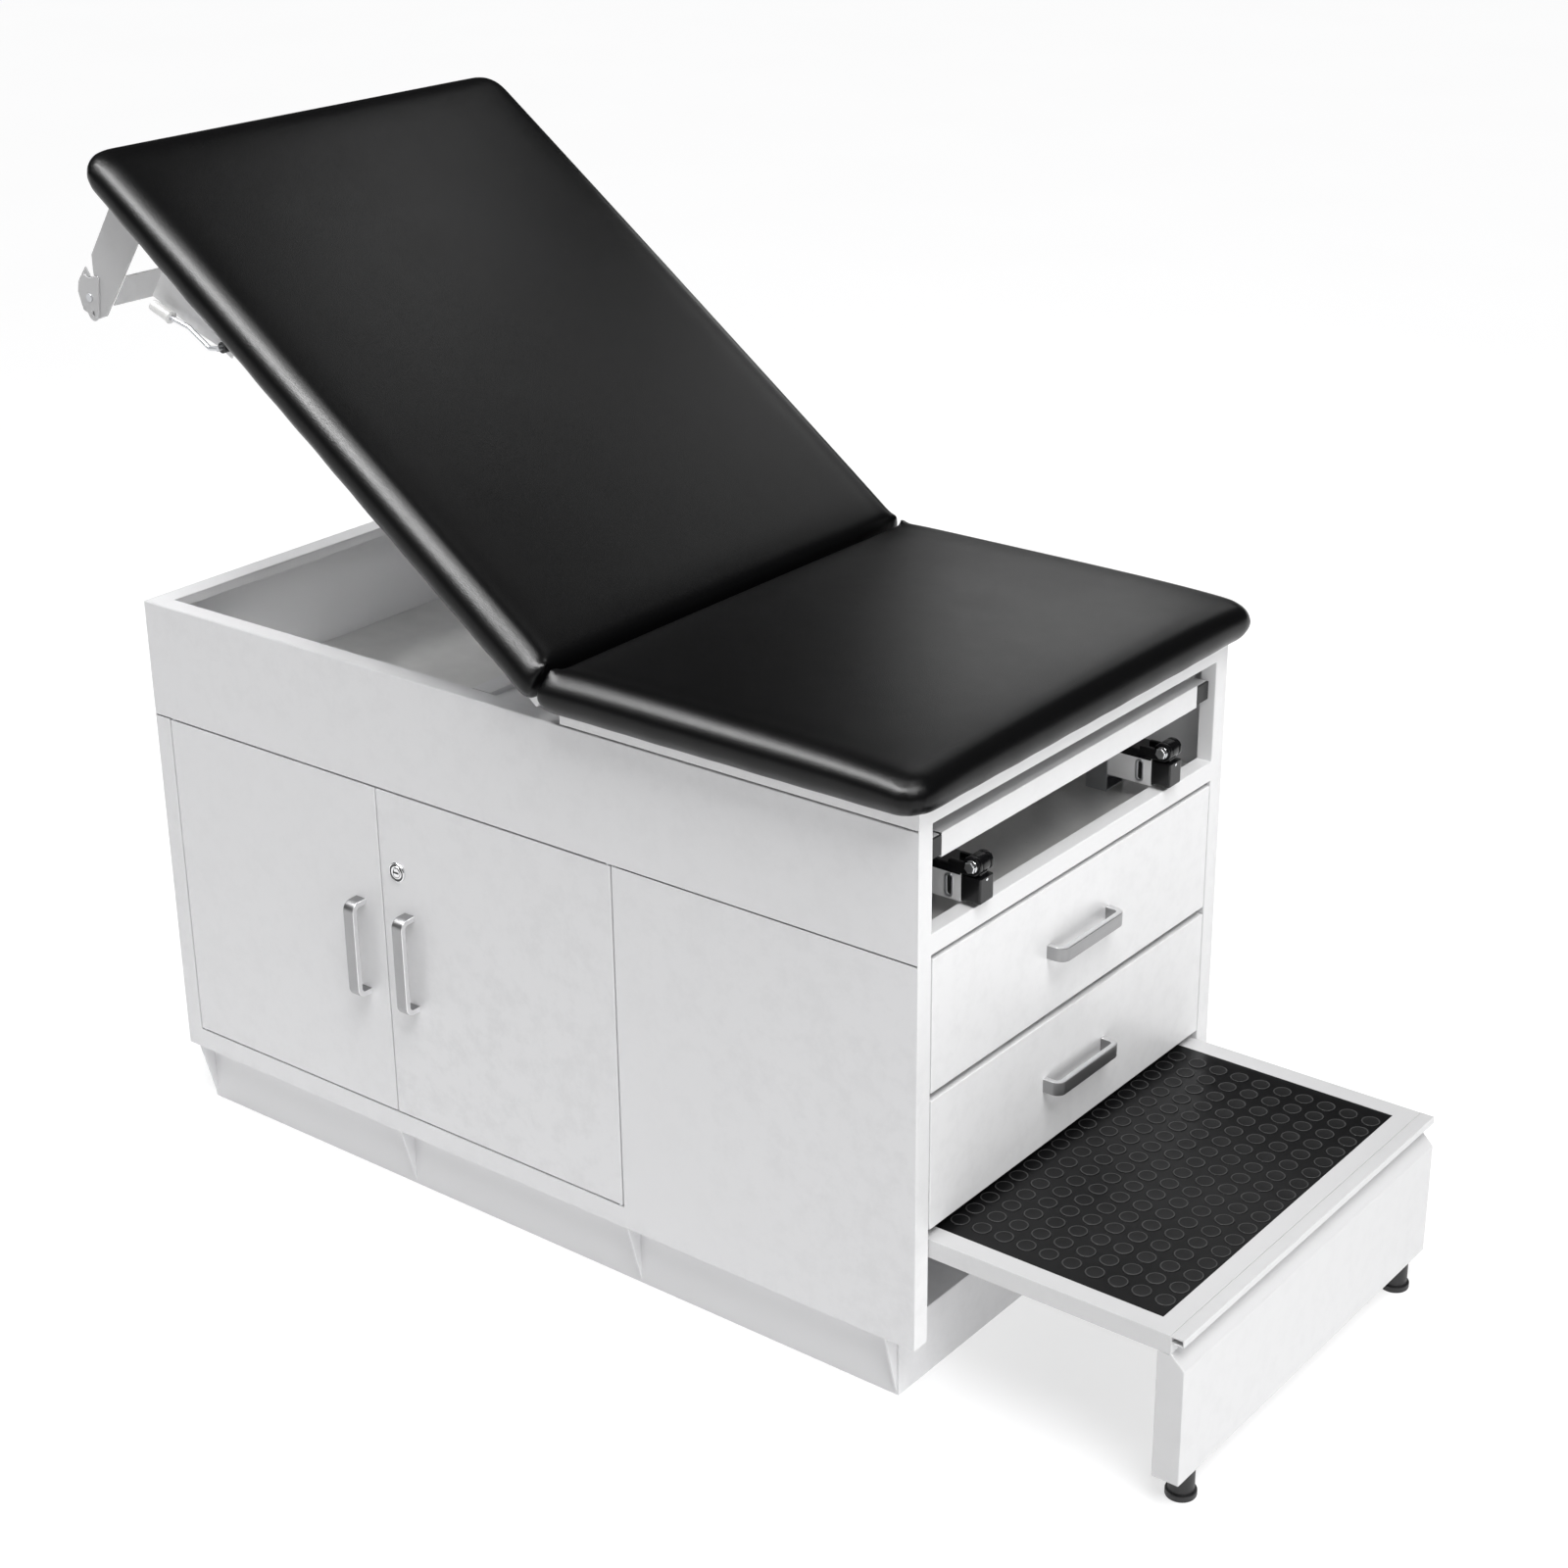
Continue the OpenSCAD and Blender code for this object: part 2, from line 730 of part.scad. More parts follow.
module upper_drawer_front() { drawer_front(0); }
module upper_drawer_box() { drawer_box(0); }
module upper_drawer_handle() { drawer_handle(0); }
module lower_drawer_front() { drawer_front(1); }
module lower_drawer_box() { drawer_box(1); }
module lower_drawer_handle() { drawer_handle(1); }

// ---------- step ----------
module step_frame() {
    z0 = step_z - rail_h;
    color(white) {
        both_sides() difference() {
            block([step_x0, -step_y, z0], [step_x1, -tread_in, step_z]);
            block([step_x0 + 3, -step_y + sheet, z0 + sheet],
                [step_x1 + 1, -tread_in - sheet, step_z - sheet]);
        }
        block([step_x0, -tread_in, z0], [step_x0 + 22, tread_in, step_z]);
        difference() {
            block([tread_x1, -tread_in, z0], [step_x1, tread_in, step_z]);
            block([tread_x1 + sheet, -tread_in - 1, z0 + sheet],
                [step_x1 + 1, tread_in + 1, step_z - sheet]);
        }
        block([step_x0 + 22, -tread_in, step_z - 4], [tread_x1, tread_in, step_z - 2.5]);
    }
}

module step_mat() {
    x0 = step_x0 + 22;
    mat_z = step_z - 2.5;
    rows = floor((tread_x1 - 3 - x0 - stud_d / 2) / stud_pitch);
    cols = floor((2 * tread_in - 6) / stud_pitch);
    color(black) {
        block([x0, -tread_in, mat_z], [tread_x1, tread_in, mat_z + 2]);
        for (i = [0:rows - 1], j = [0:cols - 1])
            translate([tread_x1 - 14.5 - i * stud_pitch, (j - (cols - 1) / 2) * stud_pitch, mat_z + 1])
                cylinder(d = stud_d, h = 1.9, $fn = 24);
    }
}

module step_apron() {
    t = 2;
    top = step_z;
    zb = step_z - 24;
    zf = zb - 17;
    x0 = step_x1;
    x1 = apron_x;
    color(white) difference() {
        union() {
            plate_xz([[x0, top], [x1 - t, top], [x1 - t, top - 10], [x0 + t, top - 10], [x0 + t, zb + 1],
                [x1, zf], [x1, 40], [x0 - 15, 40], [x0 - 15, 40 + t], [x1 - t, 40 + t], [x1 - t, zf - 1],
                [x0, zb]], -step_y, step_y);
            both_sides() plate_xz([[x0 - 15, 40], [x1 - t, 40], [x1 - t, zf], [x0, zb],
                [x0, step_z - rail_h], [x0 - 15, step_z - rail_h]], -step_y, -step_y + t);
            both_sides() block([x0 - 15, foot_pos[1] - 22, 60], [x1 - t, foot_pos[1] + 22, 62]);
        }
        block([x0 + t, -step_y - 1, top - 8], [x1 - 2 * t, step_y + 1, top - t]);
        both_sides() translate([foot_pos[0], foot_pos[1], 30]) cylinder(r = 16, h = 20);
    }
}

module step_feet() {
    color(black) both_sides() translate([foot_pos[0], foot_pos[1], 0]) {
        cylinder(r = 18.5, h = 8);
        cylinder(r = 15.5, h = 60);
    }
}

module step_rollers() {
    z = step_z - rail_h / 2;
    color("white") both_sides() bar_y(step_x0 + 25, step_y, step_y + 9, z, 11.4);
}

// ---------- leg rest ----------
module leg_rest_frame() {
    color(white) {
        both_sides() difference() {
            block([160, leg_y[0], leg_z[0]], [bar_x1 - 3, leg_y[1], leg_z[1]]);
            block([159, leg_y[0] + sheet, leg_z[0] + sheet],
                [bar_x1 + 1, leg_y[1] - sheet, leg_z[1] - sheet]);
        }
        difference() {
            block([bar_x1 - 30, -leg_y[0], leg_z[0] - 3.5], [bar_x1, leg_y[0], leg_z[1] + 2.5]);
            block([bar_x1 - 30 + sheet, -leg_y[0] - 1, leg_z[0] - 3.5 + sheet],
                [bar_x1 - sheet, leg_y[0] + 1, leg_z[1] + 2.5 - sheet]);
        }
        block([160, -leg_y[0], leg_z[0]], [180, leg_y[0], leg_z[1]]);
        block([180, -leg_y[0], leg_z[1] - sheet], [bar_x1 - 30, leg_y[0], leg_z[1]]);
    }
}

module leg_rest_caps() {
    color(black) both_sides() {
        block([bar_x1 - 3, leg_y[0] + 0.2, leg_z[0]], [bar_x1, leg_y[1], leg_z[1]]);
        block([bar_x1 - 20, leg_y[0] + sheet, leg_z[0] + sheet],
            [bar_x1 - 3, leg_y[1] - sheet, leg_z[1] - sheet]);
    }
}

// ---------- stirrups, drawn at y = 0 ----------
module stirrup_arm() {
    w = arm_w / 2;
    zm = (arm_z[0] + arm_z[1]) / 2 - 1;
    color(white) difference() {
        block([arm_x0, -w, arm_z[0]], [arm_x1, w, arm_z[1]]);
        block([arm_x0 - 1, -w + 2, arm_z[0] + 2], [arm_x1 + 1, w - 2, arm_z[1] - 2]);
        hull() for (s = [-1, 1]) bar_y(arm_x1 - 16, -w - 1, -w + 3, zm + s * 9, 3);
    }
}

module stirrup_head() {
    w = arm_w / 2;
    x = knuckle[0];
    z = knuckle[1];
    top = arm_z[1];
    color(black) difference() {
        union() {
            block([arm_x1 - 54, -w - 1.5, top], [arm_x1 + 2.5, w + 1.5, top + 8]);
            for (s = [-1, 1]) block([arm_x1 - 54, s * w, top - 3], [arm_x1, s * (w + 1.5), top + 1]);
            for (y = [knuckle_y[0], knuckle_y[1] - ear_t]) {
                block([arm_x1 - 16, y, top], [x, y + ear_t, top + 14]);
                bar_y(x, y, y + ear_t, z, knuckle_r);
            }
            block([arm_x1 - 25, -w + 2.5, arm_z[0] + 2.5], [arm_x1 + 1, w - 2.5, top - 2.5]);
            block([arm_x1, -w + 1, arm_z[0] + 1], [arm_x1 + 2.5, w - 1, top + 1]);
        }
        bar_y(x, knuckle_y[0] - 1, knuckle_y[1] + 1, z, 4);
    }
}

module stirrup_block() {
    x = knuckle[0];
    z = knuckle[1];
    play = 0.3;
    y0 = knuckle_y[0] + ear_t + play;
    y1 = knuckle_y[1] - ear_t - play;
    color(black) difference() {
        union() {
            bar_y(x, y0, y1, z, knuckle_r);
            block([x - 8, y0, z - 14], [x + 8, y1, z]);
            block([x - 13, knuckle_y[0], z - 45], [x + 12, knuckle_y[1], z - knuckle_r - 1]);
        }
        bar_y(x, knuckle_y[0] - 1, knuckle_y[1] + 1, z, 4 + fit);
    }
}

module stirrup_bolts() {
    x = knuckle[0];
    z = knuckle[1];
    color(steel) {
        bar_y(x, knuckle_y[0], knuckle_y[1], z, 4);
        translate([x, knuckle_y[0], z]) rotate([90, 0, 0]) cylinder(r = 7.5, h = 5.3, $fn = 6);
        translate([x, knuckle_y[1] + 6, z]) rotate([90, 0, 0]) cylinder(r = 7.5, h = 6, $fn = 6);
    }
}

module near_stirrup_arm() { translate([0, -stirrup_y, 0]) stirrup_arm(); }
module near_stirrup_head() { translate([0, -stirrup_y, 0]) stirrup_head(); }
module near_stirrup_block() { translate([0, -stirrup_y, 0]) stirrup_block(); }
module near_stirrup_bolts() { translate([0, -stirrup_y, 0]) stirrup_bolts(); }
module far_stirrup_arm() { translate([0, stirrup_y, 0]) stirrup_arm(); }
module far_stirrup_head() { translate([0, stirrup_y, 0]) stirrup_head(); }
module far_stirrup_block() { translate([0, stirrup_y, 0]) stirrup_block(); }
module far_stirrup_bolts() { translate([0, stirrup_y, 0]) stirrup_bolts(); }

plinth();
near_lower_face();
near_upper_panel();
far_side_panel();
head_end_panel();
foot_frame();
base_pan();
cupboard_floor();
middle_shelf();
bulkhead();
hinge_deck();
seat_platform();
seat_board();
seat_cushion();
hinge_brackets();
hinge_pins();
drawer_slides();
step_guides();
leg_rest_guides();
stirrup_guides();
door_pivots();
back_platform();
back_board();
back_cushion();
roll_brackets();
roll_crossbar();
roll_latches();
back_pins();
lever_bushes();
release_lever();
lever_sleeve();
gas_cylinder();
gas_rod();
left_door();
left_door_handle();
right_door();
right_door_handle();
lock_body();
lock_cylinder();
upper_drawer_front();
upper_drawer_box();
upper_drawer_handle();
lower_drawer_front();
lower_drawer_box();
lower_drawer_handle();
step_frame();
step_mat();
step_apron();
step_feet();
step_rollers();
leg_rest_frame();
leg_rest_caps();
near_stirrup_arm();
near_stirrup_head();
near_stirrup_block();
near_stirrup_bolts();
far_stirrup_arm();
far_stirrup_head();
far_stirrup_block();
far_stirrup_bolts();
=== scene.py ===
"""Examination table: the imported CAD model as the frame, with finished surfaces and padded cushions."""

import json
import math
import random

import bmesh
import bpy
import numpy as np
from mathutils import Matrix, Vector


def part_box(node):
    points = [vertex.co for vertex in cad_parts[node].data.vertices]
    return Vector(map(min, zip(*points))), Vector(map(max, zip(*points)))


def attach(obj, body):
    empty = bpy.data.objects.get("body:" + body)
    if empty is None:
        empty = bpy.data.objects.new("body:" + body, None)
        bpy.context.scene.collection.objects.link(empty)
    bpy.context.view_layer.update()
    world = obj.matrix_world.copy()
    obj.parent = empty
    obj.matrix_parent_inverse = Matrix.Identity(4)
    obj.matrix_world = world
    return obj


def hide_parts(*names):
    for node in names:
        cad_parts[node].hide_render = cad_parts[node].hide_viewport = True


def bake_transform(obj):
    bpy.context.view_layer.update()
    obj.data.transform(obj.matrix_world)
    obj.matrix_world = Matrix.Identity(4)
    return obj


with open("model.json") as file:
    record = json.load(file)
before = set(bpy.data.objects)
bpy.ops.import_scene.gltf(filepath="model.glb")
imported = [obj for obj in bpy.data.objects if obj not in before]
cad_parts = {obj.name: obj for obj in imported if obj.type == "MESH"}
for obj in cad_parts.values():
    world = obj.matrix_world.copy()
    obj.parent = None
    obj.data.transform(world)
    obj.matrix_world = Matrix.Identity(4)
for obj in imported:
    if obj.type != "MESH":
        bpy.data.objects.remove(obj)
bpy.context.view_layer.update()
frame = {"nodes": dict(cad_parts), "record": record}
scene = bpy.context.scene
MM = 0.001

# ---------- camera ----------
CAMERA_AT = Vector((2.2126, -2.5760, 1.9925))
YAW, PITCH, ROLL = math.radians(128.18), math.radians(-23.24), math.radians(-0.65)
LENS_MM, SENSOR_MM = 64.5, 36
NEAREST, FARTHEST = 0.05, 60


def place_camera():
    """Look along YAW and PITCH from CAMERA_AT, as the photographer did."""
    forward = Vector((math.cos(YAW) * math.cos(PITCH), math.sin(YAW) * math.cos(PITCH), math.sin(PITCH)))
    right = forward.cross(Vector((0, 0, 1))).normalized()
    up = right.cross(forward)
    data = bpy.data.cameras.new("camera")
    data.lens = LENS_MM
    data.sensor_width = SENSOR_MM
    data.clip_start = NEAREST
    data.clip_end = FARTHEST
    camera = bpy.data.objects.new("camera", data)
    scene.collection.objects.link(camera)
    basis = Matrix((right, up, -forward)).transposed() @ Matrix.Rotation(ROLL, 3, "Z")
    camera.matrix_world = Matrix.Translation(CAMERA_AT) @ basis.to_4x4()
    scene.camera = camera


place_camera()


# ---------- materials ----------
MIX_FACTOR, MIX_A, MIX_B, MIX_RESULT = 0, 6, 7, 2  # a colour Mix node's sockets, which share their names


class Nodes:
    """A small builder for one material's node tree."""

    def __init__(self, name):
        self.material = bpy.data.materials.new(name)
        self.material.use_nodes = True
        self.tree = self.material.node_tree
        self.shader = self.tree.nodes["Principled BSDF"]
        self.coords = self.add("ShaderNodeTexCoord").outputs["Object"]

    def feed(self, socket, value):
        """Link another node's output to a socket, or set the socket to a number, vector or colour."""
        if isinstance(value, bpy.types.NodeSocket):
            self.tree.links.new(value, socket)
        else:
            socket.default_value = value

    def add(self, kind, **inputs):
        made = self.tree.nodes.new(kind)
        for key, value in inputs.items():
            self.feed(made.inputs[key.replace("_", " ")], value)
        return made

    def link(self, value, name):
        self.tree.links.new(value, self.shader.inputs[name])

    def noise(self, scale, detail=2.0, rough=0.5, stretch=None):
        where = self.coords
        if stretch:
            where = self.add("ShaderNodeMapping", Vector=self.coords, Scale=stretch).outputs[0]
        made = self.add("ShaderNodeTexNoise", Vector=where, Scale=scale, Detail=detail, Roughness=rough)
        return made.outputs["Fac"]

    def cells(self, scale, feature):
        made = self.add("ShaderNodeTexVoronoi", Vector=self.coords, Scale=scale)
        made.feature = feature
        return made.outputs["Distance"]

    def ramp(self, value, low, high, start=0.0, end=1.0):
        """Map a value from the range start to end onto low to high."""
        made = self.add("ShaderNodeMapRange", Value=value)
        made.inputs["From Min"].default_value = start
        made.inputs["From Max"].default_value = end
        made.inputs["To Min"].default_value = low
        made.inputs["To Max"].default_value = high
        return made.outputs[0]

    def mix(self, factor, a, b):
        """Turn from a, a colour or another node's output, to the colour b as the factor rises."""
        made = self.tree.nodes.new("ShaderNodeMix")
        made.data_type = "RGBA"
        self.feed(made.inputs[MIX_FACTOR], factor)
        self.feed(made.inputs[MIX_A], (*a, 1) if isinstance(a, tuple) else a)
        self.feed(made.inputs[MIX_B], (*b, 1))
        return made.outputs[MIX_RESULT]

    def maths(self, operation, a, b):
        made = self.tree.nodes.new("ShaderNodeMath")
        made.operation = operation
        self.feed(made.inputs[0], a)
        self.feed(made.inputs[1], b)
        return made.outputs[0]

    def bump(self, height, strength, distance, under=None):
        made = self.add("ShaderNodeBump", Height=height, Strength=strength, Distance=distance)
        if under is not None:
            self.tree.links.new(under, made.inputs["Normal"])
        return made.outputs[0]

    def set(self, **values):
        """Set the shader's own sockets to values that are the same all over the surface."""
        for key, value in values.items():
            self.shader.inputs[key.replace("_", " ")].default_value = value


def shade(colour, factor):
    return tuple(min(1.0, c * factor) for c in colour)


def powder_coat(name, colour, rough, gloss=0.5):
    """Sprayed enamel: faint orange peel, slow tone changes and slightly rubbed corners."""
    n = Nodes(name)
    tone = n.mix(n.noise(4.0, 3.0), shade(colour, 0.99), shade(colour, 1.005))
    corner = n.ramp(n.add("ShaderNodeNewGeometry").outputs["Pointiness"], 0.0, 0.5, 0.53, 0.60)
    patches = n.ramp(n.noise(38.0, 5.0, 0.65), 0, 1, 0.45, 0.65)
    n.link(n.mix(n.maths("MULTIPLY", corner, patches), tone, shade(colour, 0.86)), "Base Color")
    n.link(n.ramp(n.noise(22.0, 4.0), rough - 0.03, rough + 0.04), "Roughness")
    peel = n.bump(n.noise(420.0, 1.5), 0.10, 0.0003)
    n.link(n.bump(n.noise(55.0, 1.0), 0.05, 0.0006, peel), "Normal")
    n.set(Coat_Weight=0.25, Coat_Roughness=0.22, Specular_IOR_Level=gloss)
    return n.material


def vinyl(name):
    """Black upholstery vinyl: pebbled grain with fine creases, over slow dents of the foam."""
    n = Nodes(name)
    pebble = n.cells(620.0, "SMOOTH_F1")
    crease = n.cells(430.0, "DISTANCE_TO_EDGE")
    fine = n.noise(1500.0, 3.0, 0.6)
    folds = n.maths("MULTIPLY", n.ramp(crease, 0, 1, 0.0, 0.16), 0.8)
    bumps = n.maths("ADD", n.maths("MULTIPLY", pebble, -0.5), n.maths("MULTIPLY", fine, 0.35))
    n.link(n.mix(n.noise(7.0, 4.0), (0.0020, 0.0020, 0.0022), (0.0034, 0.0034, 0.0037)), "Base Color")
    n.link(n.ramp(n.noise(16.0, 5.0, 0.6), 0.27, 0.34), "Roughness")
    grain = n.bump(n.maths("ADD", folds, bumps), 0.22, 0.00025)
    n.link(n.bump(n.noise(9.0, 2.0), 0.10, 0.004, grain), "Normal")
    n.set(Specular_IOR_Level=0.24)
    return n.material


# paler rubber colour for the studs' rims: a painted highlight
STUD_RIM_HIGHLIGHT = (0.055, 0.055, 0.055)


def rubber(name, colour, rough, gloss, highlight_above=None):
    """Moulded rubber, dusted a little; where a height is given, painted paler above it as a painted
    highlight on the studs' rims.
    """
    n = Nodes(name)
    dust_and_rim_highlight = n.mix(n.ramp(n.noise(14.0, 6.0, 0.7), 0, 1, 0.35, 0.85), colour, shade(colour, 1.9))
    if highlight_above:
        # painted highlight: above the given height the rubber is painted paler, on the studs' rims
        height = n.add("ShaderNodeSeparateXYZ", Vector=n.coords).outputs["Z"]
        rim_highlight = n.ramp(height, 0.0, 1.0, highlight_above, highlight_above + 0.2 * MM)
        dust_and_rim_highlight = n.mix(rim_highlight, dust_and_rim_highlight, STUD_RIM_HIGHLIGHT)
    n.link(dust_and_rim_highlight, "Base Color")
    n.link(n.ramp(n.noise(60.0, 4.0), rough - 0.08, rough + 0.08), "Roughness")
    n.link(n.bump(n.noise(900.0, 3.0, 0.6), 0.18, 0.0003), "Normal")
    n.set(Specular_IOR_Level=gloss)
    return n.material


def metal(name, colour, rough, stretch=(1, 1, 1), grain=0.10, metallic=1.0):
    """Bare or plated metal, brushed along the axis whose stretch is smallest."""
    n = Nodes(name)
    streak = n.noise(260.0, 5.0, 0.65, stretch)
    n.link(n.mix(n.noise(30.0, 4.0), shade(colour, 0.88), shade(colour, 1.05)), "Base Color")
    n.link(n.ramp(streak, rough - 0.08, rough + 0.12), "Roughness")
    n.link(n.bump(streak, grain, 0.0002), "Normal")
    n.set(Metallic=metallic)
    return n.material


def plastic(name, colour, rough):
    """Moulded plastic with a faint satin texture."""
    n = Nodes(name)
    n.link(n.mix(n.noise(25.0, 3.0), shade(colour, 0.93), shade(colour, 1.05)), "Base Color")
    n.link(n.ramp(n.noise(70.0, 3.0), rough - 0.05, rough + 0.08), "Roughness")
    n.link(n.bump(n.noise(1100.0, 2.0), 0.10, 0.0002), "Normal")
    return n.material


def plywood(name):
    """Plywood with long waving grain."""
    n = Nodes(name)
    where = n.add("ShaderNodeMapping", Vector=n.coords, Scale=(1.2, 9.0, 60.0)).outputs[0]
    wave = n.add("ShaderNodeTexWave", Vector=where, Scale=3.0, Distortion=9.0, Detail=4.0)
    n.link(n.mix(wave.outputs["Fac"], (0.36, 0.22, 0.11), (0.62, 0.43, 0.24)), "Base Color")
    n.link(n.ramp(n.noise(80.0, 4.0), 0.55, 0.8), "Roughness")
    n.link(n.bump(wave.outputs["Fac"], 0.25, 0.0006), "Normal")
    return n.material


WHITE = powder_coat("white_paint", (0.80, 0.80, 0.805), 0.30)
# the white paint again, darker: painted shade for the grey_paint slot's parts on the near side, which get
# less light
SHADED_WHITE_PAINT = powder_coat("grey_paint", (0.74, 0.74, 0.75), 0.34)
VINYL = vinyl("black_vinyl")
RUBBER = rubber("rubber", (0.011, 0.011, 0.0115), 0.46, 0.5)
PLY = plywood("plywood")
ZINC = metal("zinc", (0.60, 0.61, 0.63), 0.36)
# darker copy of the handles' satin metal for the door handles: painted shade, standing in for the dim
# reflection on their faces
SHADED_SATIN_UPRIGHT = metal("satin_upright_shaded", (0.33, 0.33, 0.335), 0.36, (1, 1, 0.03))
SATIN_Y = metal("satin_across", (0.40, 0.40, 0.405), 0.36, (1, 0.03, 1))
CHROME = metal("chrome", (0.74, 0.74, 0.75), 0.14, grain=0.03)
BRIGHT_STEEL = metal("bright_steel", (0.80, 0.81, 0.82), 0.20, grain=0.04)
# paler metal for the handles' narrow sides: a painted highlight
EDGE_HIGHLIGHT_METAL = metal("painted_edge_highlight", (0.93, 0.93, 0.935), 0.30, grain=0.04)
STUD_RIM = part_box("step_mat")[1].z - 0.22 * MM  # the studs' rims are painted paler from this height up, as a painted highlight
MAT_RUBBER = rubber("mat_rubber", (0.0045, 0.0045, 0.0048), 0.34, 0.22, STUD_RIM)
# the white paint again, darker: painted shade on the step's frame and apron
SHADED_STEP_PAINT = powder_coat("step_paint_shaded", (0.65, 0.65, 0.655), 0.30)
BRACKET_PAINT = powder_coat("bracket_paint", (0.52, 0.52, 0.525), 0.32)
TRAY_METAL = metal("tray_metal", (0.72, 0.72, 0.71), 0.30, (0.03, 1, 1), 0.06, 0.6)
BLACK_METAL = powder_coat("black_enamel", (0.004, 0.004, 0.0045), 0.22, 0.3)
BLACK_PLASTIC = plastic("black_plastic", (0.015, 0.015, 0.016), 0.40)
WHITE_PLASTIC = plastic("white_plastic", (0.80, 0.80, 0.79), 0.36)

SLOT_MATERIAL = {
    "white_paint": WHITE, "grey_paint": SHADED_WHITE_PAINT, "upholstery": VINYL, "plywood": PLY, "zinc_steel": ZINC,
    "satin_metal": CHROME, "black_metal": BLACK_METAL, "black_plastic": BLACK_PLASTIC, "rubber": RUBBER,
    "white_plastic": WHITE_PLASTIC,
}
NODE_SLOT = {s["node"]: s["material_slot"] for s in frame["record"]["subparts"]}
BODY = {n: b for b, ns in frame["record"]["behaviour"]["bodies"].items() for n in ns}
NODE_MATERIAL = {
    "roll_brackets": BRACKET_PAINT, "roll_crossbar": BRACKET_PAINT, "roll_latches": BRACKET_PAINT,
    "step_frame": SHADED_STEP_PAINT, "step_apron": SHADED_STEP_PAINT, "middle_shelf": TRAY_METAL,
    "left_door_handle": SHADED_SATIN_UPRIGHT, "right_door_handle": SHADED_SATIN_UPRIGHT,
    "upper_drawer_handle": SATIN_Y, "lower_drawer_handle": SATIN_Y,
}


def material_of(node):
    return NODE_MATERIAL.get(node, SLOT_MATERIAL[NODE_SLOT[node]])


def apply_modifiers(obj):
    dg = bpy.context.evaluated_depsgraph_get()
    mesh = bpy.data.meshes.new_from_object(obj.evaluated_get(dg))
    obj.modifiers.clear()
    obj.data = mesh


def new_object(name, mesh, material):
    obj = bpy.data.objects.new(name, mesh)
    scene.collection.objects.link(obj)
    mesh.materials.clear()
    mesh.materials.append(material)
    return obj


WELD = 0.01 * MM  # points nearer than this are one point
FOLD_ANGLE = math.radians(28)  # edges that turn by more than this are real edges
FLAT_ANGLE = math.radians(1.0)
SEAM_ANGLE = math.radians(0.6)


def flatten_faces(obj):
    """Smooth shading that leaves the large flat faces flat."""
    obj.data.shade_smooth()
    obj.data.set_sharp_from_angle(angle=FOLD_ANGLE)
    weighted = obj.modifiers.new("weighted", "WEIGHTED_NORMAL")
    weighted.keep_sharp = True
    weighted.weight = 100
    apply_modifiers(obj)


def flat_regions(bm):
    """Groups of faces that lie in one plane, each as its normal and a list of its outline edges."""
    seen = set()
    regions = []
    for first in bm.faces:
        if first in seen:
            continue
        seen.add(first)
        queue, rim = [first], []
        while queue:
            face = queue.pop()
            for edge in face.edges:
                if len(edge.link_faces) != 2 or edge.calc_face_angle() > FLAT_ANGLE:
                    rim.append((edge, face))
                    continue
                for other in edge.link_faces:
                    if other not in seen:
                        seen.add(other)
                        queue.append(other)
        regions.append((first.normal.copy(), rim))
    return regions


SHARES = (0.04, 0.5, 0.96)  # where along an edge the free distance is measured
HAIR = 1e-4  # slack, as a share of an edge


def free_distance(at, inward, start, run):
    """Distance from a point to the nearest outline edge that a line going inward meets, or infinity."""
    gap = start - at
    cross = inward[0] * run[:, 1] - inward[1] * run[:, 0]
    with np.errstate(divide="ignore", invalid="ignore"):
        reach = (gap[:, 0] * run[:, 1] - gap[:, 1] * run[:, 0]) / cross
        along = (gap[:, 0] * inward[1] - gap[:, 1] * inward[0]) / cross
    met = (np.abs(cross) > 1e-9) & (along >= -HAIR) & (along <= 1 + HAIR) & (reach > 1e-6)
    return float(reach[met].min()) if met.any() else math.inf


def rooms(bm):
    """For each edge, the free distance across the flat regions on its two sides."""
    room = {edge: math.inf for edge in bm.edges}
    for normal, rim in flat_regions(bm):
        u = (rim[0][0].verts[1].co - rim[0][0].verts[0].co).normalized()
        w = normal.cross(u)
        flat = np.array([[(v.co.dot(u), v.co.dot(w)) for v in edge.verts] for edge, _ in rim])
        start, run = flat[:, 0], flat[:, 1] - flat[:, 0]
        for k, (edge, face) in enumerate(rim):
            length = np.hypot(*run[k])
            if length < 1e-7:
                continue
            loop = next(l for l in edge.link_loops if l.face == face)
            sign = 1.0 if loop.vert == edge.verts[0] else -1.0
            inward = sign * np.array((-run[k][1], run[k][0])) / length
            for share in SHARES:
                free = free_distance(start[k] + run[k] * share, inward, start, run)
                room[edge] = min(room[edge], free)
    return room


ROOMY = 2.4  # an edge gets its whole radius where the faces beside it are this many radii wide
TIGHT_SHARE = 0.3  # on narrower faces the radius is this share of their width
THINNEST = 0.9 * MM  # faces narrower than this are left sharp


def weigh_edges(bm, width):
    """Bevel weights for the sharp outer edges, as large as the faces beside them allow."""
    weight = bm.edges.layers.float.new("bevel_weight_edge")
    room = rooms(bm)
    for edge in bm.edges:
        if len(edge.link_faces) != 2 or edge.calc_face_angle() < FOLD_ANGLE or not edge.is_convex:
            continue
        if room[edge] >= ROOMY * width:
            edge[weight] = 1.0
        elif room[edge] >= THINNEST:
            edge[weight] = TIGHT_SHARE * room[edge] / width


